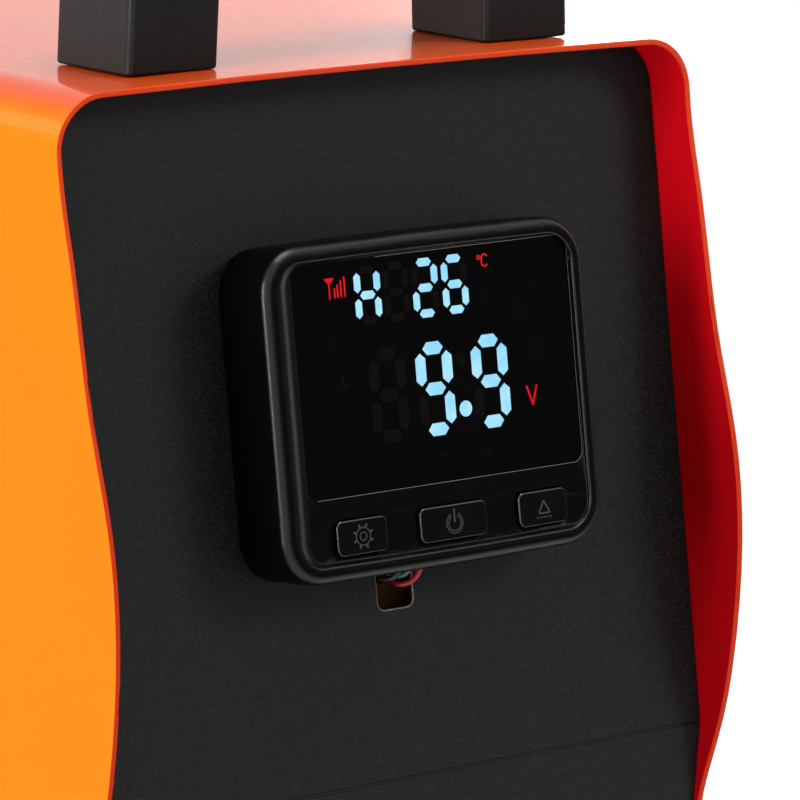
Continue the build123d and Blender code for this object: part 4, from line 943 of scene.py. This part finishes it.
@dataclass(frozen=True)
class Studio:
    """White world, pale floor and the lamps."""

    world_light: float = 0.55
    floor_radius: float = 6.0
    fade_start: float = 0.55
    fade_end: float = 1.5
    floor_colour: Colour = (0.80, 0.80, 0.80, 1.0)
    floor_roughness: float = 0.9
    floor_specular: float = 0.1
    lamps: tuple[Softbox, ...] = (
        Softbox("left_strip", (-1.42, -0.36, 0.62), (0.0, -0.05, 0.26), 0.22, 0.9, 13.0),
        Softbox("right_softbox", (1.05, -1.35, 1.15), (0.0, -0.15, 0.25), 0.5, 0.5, 11.0),
        Softbox("top_softbox", (0.1, -0.25, 1.6), (0.0, 0.0, 0.2), 0.7, 0.7, 9.0),
        Softbox("rear_softbox", (-0.80, 0.95, 0.86), (0.0, 0.0, 0.30), 0.5, 0.4, 3.6),
        Softbox("far_softbox", (1.15, 0.75, 0.70), (0.0, 0.1, 0.22), 0.6, 0.6, 8.0),
    )

    def seen_rays(self, tree: NodeTree) -> Socket:
        """Find the rays that see the world or the floor.

        Args:
            tree: The node tree to work in.

        Returns:
            A socket that is 1 for camera, glossy and transmission rays.
        """
        path = tree.nodes.new("ShaderNodeLightPath").outputs
        first = add_node(tree, "ShaderNodeMath", {0: path["Is Camera Ray"], 1: path["Is Glossy Ray"]},
                         operation="MAXIMUM")
        return add_node(tree, "ShaderNodeMath", {0: first, 1: path["Is Transmission Ray"]},
                        operation="MAXIMUM")

    def make_world(self) -> None:
        """Create the world: white where it is seen, softer where it lights."""
        world = bpy.data.worlds.new("studio_world")
        world.use_nodes = True
        bpy.context.scene.world = world
        tree = world.node_tree
        tree.nodes.clear()
        soft, white = (add_node(tree, "ShaderNodeBackground", {"Color": WHITE, "Strength": strength})
                       for strength in (self.world_light, 1.0))
        mix = add_node(tree, "ShaderNodeMixShader", {"Fac": self.seen_rays(tree), 1: soft, 2: white})
        tree.links.new(mix, tree.nodes.new("ShaderNodeOutputWorld").inputs["Surface"])

    def make_floor(self) -> None:
        """Create the floor disc, which fades into the white round it."""
        disc = bmesh.new()
        bmesh.ops.create_circle(disc, cap_ends=True, radius=self.floor_radius, segments=96)
        floor = place_shell("floor", disc)
        sheet = ShaderSheet("pale_floor", self.floor_colour, self.floor_roughness)
        sheet.set({"Specular IOR Level": self.floor_specular})
        tree = sheet.tree
        reach = add_node(tree, "ShaderNodeVectorMath", {0: sheet.place}, "Value", operation="LENGTH")
        far = sheet.span(reach, self.fade_start, self.fade_end)
        seen = add_node(tree, "ShaderNodeMath", {0: far, 1: self.seen_rays(tree)}, operation="MULTIPLY")
        white = add_node(tree, "ShaderNodeEmission", {"Color": WHITE, "Strength": 1.0})
        mix = add_node(tree, "ShaderNodeMixShader",
                       {"Fac": seen, 1: sheet.surface.outputs[0], 2: white})
        tree.links.new(mix, tree.nodes["Material Output"].inputs["Surface"])
        floor.data.materials.append(sheet.material)

    def make(self) -> None:
        """Set up the world, the floor and the lamps."""
        bpy.context.scene.view_settings.view_transform = "Standard"
        self.make_world()
        self.make_floor()
        for lamp in self.lamps:
            lamp.make()


# ---- the heater's pieces

class Figure(Enum):
    """Figures that the display shows, by their lit segments."""

    LETTER_H = "bcefg"
    TWO = "abged"
    SIX = "acdefg"
    NINE = "abcdfg"
    NONE = ""


@dataclass(frozen=True)
class Sheetwork:
    """The orange wrap, the two black panels and the floor plate."""

    wrap_edge: float = 0.00045
    panel_edge: float = 0.00035
    crease_height: float = 0.209
    # The brown sheet of painted bounce light behind the slot: its outline, place and thickness.
    bounce_sheet: tuple[Point2, ...] = ((-7.0, -6.0), (13.5, -6.0), (13.5, 5.0), (-7.0, 5.0))
    bounce_sheet_place: Point3 = (0.8, 135.2, -6.8)
    bounce_sheet_height: float = 0.0008

    def make_slot_bounce_sheet(self) -> None:
        """Put a brown sheet behind the lower part of the wire slot, under the wires: painted light, the
        orange glow bounced inside the case.
        """
        bounce_paint = FlatShapes("slot_bounce_sheet", panel_place(*self.bounce_sheet_place), self.bounce_sheet_height)
        bounce_paint.outlines.append(list(self.bounce_sheet))
        bounce_paint.make("slot_bounce_paint", "root", "black_paint")

    def make(self) -> None:
        """Round the edges of all four pieces and put the brown bounce sheet behind the slot."""
        self.make_slot_bounce_sheet()
        EdgeRounding(self.wrap_edge).copy_of("casing", "casing_wrap", WrapZones())
        creased = EdgeRounding(self.panel_edge, groove_height=self.crease_height)
        creased.copy_of("front_panel", "front_panel_coated", PanelZones())
        creased.copy_of("rear_panel", "rear_panel_coated")
        EdgeRounding(self.panel_edge).copy_of("base_tray", "base_tray_coated")


@dataclass(frozen=True)
class Fittings:
    """Pieces that only need their edges rounded, each with its own radius."""

    edges: Edges = ()
    ending: str = "_moulded"
    steps: int = 2

    def make(self) -> None:
        """Round the edges of each piece."""
        for node, radius in self.edges:
            EdgeRounding(radius, self.steps).copy_of(node, node + self.ending)


@dataclass(frozen=True)
class Handles(Fittings):
    """The two moulded handles on the case's top."""

    edges: Edges = (("handle_front", 0.0008), ("handle_rear", 0.0008))
    steps: int = 3


@dataclass(frozen=True)
class AirFittings(Fittings):
    """The outlet ring, its louvre, the intake grille and the power inlet."""

    edges: Edges = (("outlet_ring", 0.0004), ("louvre", 0.0003), ("intake_grille", 0.0003),
                    ("power_inlet", 0.0004))


@dataclass(frozen=True)
class OutsideFittings(Fittings):
    """The filler cap, the feet, the stubs under the floor and the screws that show."""

    edges: Edges = (("filler_cap", 0.0005), ("rubber_feet", 0.0007), ("exhaust_stub", 0.0003),
                    ("air_stub", 0.0003), ("casing_screws", 0.0002), ("panel_screws", 0.0002),
                    ("handle_screws", 0.0002))
    ending: str = "_finished"


@dataclass(frozen=True)
class RimSlope:
    """The soft slope from the bezel's rim down to its face, nearer to the window on the left."""

    rim: Sides = (-42.25, 50.25, 46.95, 121.95)
    rim_corner: float = 8.15
    rim_depth: float = 19.31
    face: Sides = (-37.0, 49.15, 48.35, 119.95)
    face_corner: float = 4.4
    face_depth: float = 17.83
    root_depth: float = 17.70
    bow: float = 0.4
    steps: int = 8
    shading_angle: float = radians(50)

    def loop(self, sides: Sides, corner: float) -> list[Point2]:
        """Go round a rounded rectangle with bowed top and bottom, from its right-hand side.

        Args:
            sides: Left and right edge, and top and bottom edge as drops.
            corner: The corners' radius.

        Returns:
            Places across and down the panel.
        """
        left, right, top, bottom = sides
        places = []
        centres = ((right - corner, bottom - corner), (left + corner, bottom - corner),
                   (left + corner, top + corner), (right - corner, top + corner))
        for number, (x, drop) in enumerate(centres):
            for step in range(self.steps + 1):
                angle = pi / 2 * (number + step / self.steps)
                places.append((x + corner * cos(angle), drop + corner * sin(angle)))
            start, after = places[-1], centres[(number + 1) % 4]
            end = (after[0] + corner * cos(angle), after[1] + corner * sin(angle))
            for step in range(1, self.steps):
                part = step / self.steps
                across, down = between(start, end, part)
                places.append((across, down + self.bow * sin(angle) * 4 * part * (1 - part)))
        return places

    def make(self) -> None:
        """Build the slope as a closed ring."""
        rim, face = self.loop(self.rim, self.rim_corner), self.loop(self.face, self.face_corner)
        profile = []
        for step in range(self.steps + 1):
            part = step / self.steps
            rise = 0.5 + 0.5 * cos(pi * part)
            profile.append((part, self.face_depth + (self.rim_depth - self.face_depth) * rise))
        profile.append((0.0, self.root_depth))
        shell = bmesh.new()
        rings = [[shell.verts.new(panel_place(*between(outer, inner, part), depth).translation)
                  for outer, inner in zip(rim, face)] for part, depth in profile]
        for number, ring in enumerate(rings):
            after = rings[(number + 1) % len(rings)]
            for place in range(len(ring)):
                follow = (place + 1) % len(ring)
                shell.faces.new((ring[place], ring[follow], after[follow], after[place]))
        bmesh.ops.recalc_face_normals(shell, faces=shell.faces)
        piece = place_shell("bezel_slope", shell)
        dress(piece, "slope_plastic")
        smooth_shading(piece, self.shading_angle)
        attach(piece, "root")


@dataclass(frozen=True)
class Controller:
    """The controller's shells, its window and its three keys with their raised icons, whose pale grey is a
    painted highlight on their relief.
    """

    shell_edge: float = 0.0002
    glass_edge: float = 0.00022
    key_edge: float = 0.0004
    icon_height: float = 0.00018
    icon_line: float = 0.24
    key_drop: float = 114.8
    key_face: float = 19.0
    key_x: Point3 = (-22.1, 6.1, 34.3)
    gear_radius: float = 2.15
    gear_hole: float = 1.0
    gear_teeth: int = 8
    tooth_length: float = 0.95
    tooth_width: float = 0.55
    power_centre: Point2 = (0.0, -0.3)
    power_radii: Point2 = (2.5, 1.9)
    power_turn: Point2 = (118.0, 304.0)
    power_bar: Bar = ((0.0, -0.1), (0.0, 3.2), 0.4)
    triangle: tuple[Point2, ...] = ((-1.75, -1.35), (1.75, -1.35), (0.0, 1.75))
    triangle_line: float = 0.36
    dashes: int = 5
    dash_place: Point2 = (-2.4, -2.35)
    dash_pitch: float = 1.02
    dash_size: Point2 = (0.62, 0.32)

    def key_icon(self, name: str, number: int) -> FlatShapes:
        """Start the flat shapes that lie on a key's face, counted from the left."""
        place = panel_place(self.key_x[number], self.key_drop, self.key_face)
        return FlatShapes(name, place, self.icon_height)

    def make_gear(self) -> None:
        """Put the gear on the settings key."""
        icon = self.key_icon("gear_icon", 0)
        for radius in (self.gear_radius, self.gear_hole):
            icon.arc((0.0, 0.0), radius, self.icon_line)
        for tooth in range(self.gear_teeth):
            angle = 2 * pi * (tooth + 0.5) / self.gear_teeth
            ends = ((reach * cos(angle), reach * sin(angle))
                    for reach in (self.gear_radius, self.gear_radius + self.tooth_length))
            icon.bar(*ends, self.tooth_width)
        icon.make("icon_painted_highlight", "settings_key", "controller_plastic")

    def make_power_sign(self) -> None:
        """Put the power sign on the middle key."""
        icon = self.key_icon("power_icon", 1)
        for radius in self.power_radii:
            icon.arc(self.power_centre, radius, self.icon_line, *self.power_turn)
        icon.bar(*self.power_bar)
        icon.make("icon_painted_highlight", "power_key", "controller_plastic")

    def make_arrow(self) -> None:
        """Put the triangle and its dashed line on the right-hand key."""
        icon = self.key_icon("arrow_icon", 2)
        for number, corner in enumerate(self.triangle):
            icon.bar(corner, self.triangle[(number + 1) % 3], self.triangle_line)
        for number in range(self.dashes):
            start, height = self.dash_place[0] + number * self.dash_pitch, self.dash_place[1]
            icon.bar((start, height), (start + self.dash_size[0], height), self.dash_size[1])
        icon.make("icon_painted_highlight", "up_key", "controller_plastic")

    def make(self) -> None:
        """Build the controller's visible pieces."""
        EdgeRounding(self.shell_edge).copy_of("controller_back", "controller_back_moulded")
        EdgeRounding(0.0).copy_of("controller_bezel", "controller_bezel_moulded")
        EdgeRounding(self.glass_edge).copy_of("display_glass", "display_window")
        for node in ("button_settings", "button_power", "button_up"):
            EdgeRounding(self.key_edge).copy_of(node, node + "_moulded")
            dress(bpy.data.objects[node + "_moulded"], "key_plastic")
        RimSlope().make()
        self.make_gear()
        self.make_power_sign()
        self.make_arrow()


@dataclass(frozen=True)
class Display:
    """What shows in the window: lit figures, small red symbols, the faintly glowing unlit ghosts and a
    painted highlight along the window's edges.

    Each row has its height, the width, pitch, stroke and end gap of its figures, and its figures.
    """

    window: Point3 = (6.1, 76.8, 17.8)
    ink_height: float = 0.00003
    rows: tuple[tuple[float, Sides, tuple[tuple[float, Figure], ...]], ...] = (
        (19.3, (6.0, 6.22, 2.0, 0.68), ((-19.9, Figure.LETTER_H), (-11.2, Figure.NONE),
                                        (-2.2, Figure.TWO), (7.0, Figure.SIX))),
        (-5.35, (8.2, 9.9, 3.1, 0.95), ((-15.9, Figure.NONE), (-1.5, Figure.NINE),
                                        (15.8, Figure.NINE))))
    point: Point2 = (7.3, -11.2)
    point_radius: float = 1.95
    unlit_point: Point2 = (7.0, 0.6)
    unlit_point_radius: float = 1.5
    # The painted highlight along the window's edges: half its size, corner radius, line width and where its
    # top line starts.
    edge_half: Point2 = (42.85, 28.25)
    edge_corner: float = 2.9
    edge_line: float = 0.11
    edge_start: float = 26.0
    aerial: tuple[Point2, ...] = ((-31.4, 22.6), (-32.9, 24.4), (-29.8, 24.4))
    symbol_bars: tuple[Bar, ...] = (
        ((-31.4, 23.4), (-31.4, 19.3), 0.42), ((-29.85, 19.5), (-29.85, 21.9), 0.44),
        ((-28.95, 19.5), (-28.95, 22.7), 0.44), ((-27.9, 19.5), (-27.9, 23.6), 0.44),
        ((-26.75, 19.5), (-26.75, 24.4), 0.44), ((15.8, 24.8), (15.8, 23.6), 0.40),
        ((26.85, -7.8), (28.45, -12.6), 0.55), ((28.45, -12.6), (30.05, -7.8), 0.55))
    symbol_arcs: tuple[Arc, ...] = (
        ((14.9, 25.0), 0.45, 0.3), ((16.7, 24.75), 0.9, 0.40, 25.0, 155.0),
        ((16.7, 23.65), 0.9, 0.40, 180.0, 155.0))
    fan: Point2 = (-29.5, -1.2)
    fan_reach: float = 1.9
    fan_line: float = 0.8
    ghost_bars: tuple[Bar, ...] = (
        ((-32.4, 10.4), (-32.4, 8.2), 0.4), ((-32.4, 8.2), (-31.2, 8.2), 0.4),
        ((31.4, 17.8), (33.0, 16.2), 0.4), ((-1.8, -21.5), (0.0, -21.5), 0.4))
    ghost_arcs: tuple[Arc, ...] = (
        ((-29.5, -1.2), 0.6, 0.3), ((16.2, 15.2), 0.9, 0.35), ((12.9, -23.1), 0.8, 0.35))

    def sheet(self, name: str) -> FlatShapes:
        """Start flat shapes on the window's face."""
        return FlatShapes(name, panel_place(*self.window), self.ink_height)

    def make_figures(self) -> None:
        """Draw the lit figures and the ghosts of the unlit segments, which glow faintly as painted light."""
        lit = self.sheet("lit_figures")
        unlit = self.sheet("unlit_segments")
        for height, sizes, cells in self.rows:
            for x, figure in cells:
                cell = SegmentCell((x, height), *sizes)
                dark = "".join(letter for letter in SEGMENT_ENDS if letter not in figure.value)
                lit.outlines += cell.outlines(figure.value)
                unlit.outlines += cell.outlines(dark)
        lit.disc(self.point, self.point_radius)
        unlit.disc(self.unlit_point, self.unlit_point_radius)
        lit.make("lit_digit", "root", "display_glass")
        unlit.make("unlit_digit_glow", "root", "display_glass")

    def make_symbols(self) -> None:
        """Draw the aerial with its bars, the degree sign with its C and the V."""
        ink = self.sheet("lit_symbols")
        ink.outlines.append(list(self.aerial))
        ink.draw(self.symbol_bars, self.symbol_arcs)
        ink.make("lit_symbol", "root", "display_glass")

    def make_edge_highlight(self) -> None:
        """Draw a painted highlight: a pale line along the window's top, right-hand and bottom edges."""
        ink = self.sheet("window_edge_highlight")
        (x, y), corner = self.edge_half, self.edge_corner
        for ends in (((-x + self.edge_start, y), (x - corner, y)), ((x, y - corner), (x, -y + corner)),
                     ((-x + corner, -y), (x - corner, -y))):
            ink.bar(*ends, self.edge_line)
        for side, start in ((1, 0.0), (-1, 270.0)):
            ink.arc((x - corner, side * (y - corner)), corner, self.edge_line, start, 90.0)
        ink.make("window_edge_highlight", "root", "display_glass")

    def make_ghost_signs(self) -> None:
        """Draw the faint unlit signs, which glow faintly as painted light: a fan, a wrench-like stroke and
        short marks at the edges.
        """
        ink = self.sheet("unlit_signs")
        for turn in range(3):
            angle = radians(90 + 120 * turn)
            tip = (self.fan[0] + self.fan_reach * cos(angle),
                   self.fan[1] + self.fan_reach * sin(angle))
            ink.bar(self.fan, tip, self.fan_line)
        ink.draw(self.ghost_bars, self.ghost_arcs)
        ink.make("unlit_digit_glow", "root", "display_glass")

    def make(self) -> None:
        """Draw everything the window shows."""
        self.make_figures()
        self.make_symbols()
        self.make_edge_highlight()
        self.make_ghost_signs()


@dataclass(frozen=True)
class PlainPieces:
    """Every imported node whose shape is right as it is: it gets its finish."""

    def make(self) -> None:
        """Dress the nodes by the record's material slots."""
        for node, piece in frame["nodes"].items():
            material = finish_material(material_slot(node))
            for slot in piece.material_slots:
                slot.material = material


def main() -> None:
    """Build the studio and dress the heater, piece by piece."""
    logging.basicConfig(level=logging.INFO, format="%(name)s: %(message)s")
    PhotoCamera().make()
    Studio().make()
    for part in (PlainPieces(), Sheetwork(), Handles(), Controller(), Display(), AirFittings(),
                 OutsideFittings()):
        part.make()
        LOG.info("%s done", type(part).__name__)


if __name__ == "__main__":
    main()
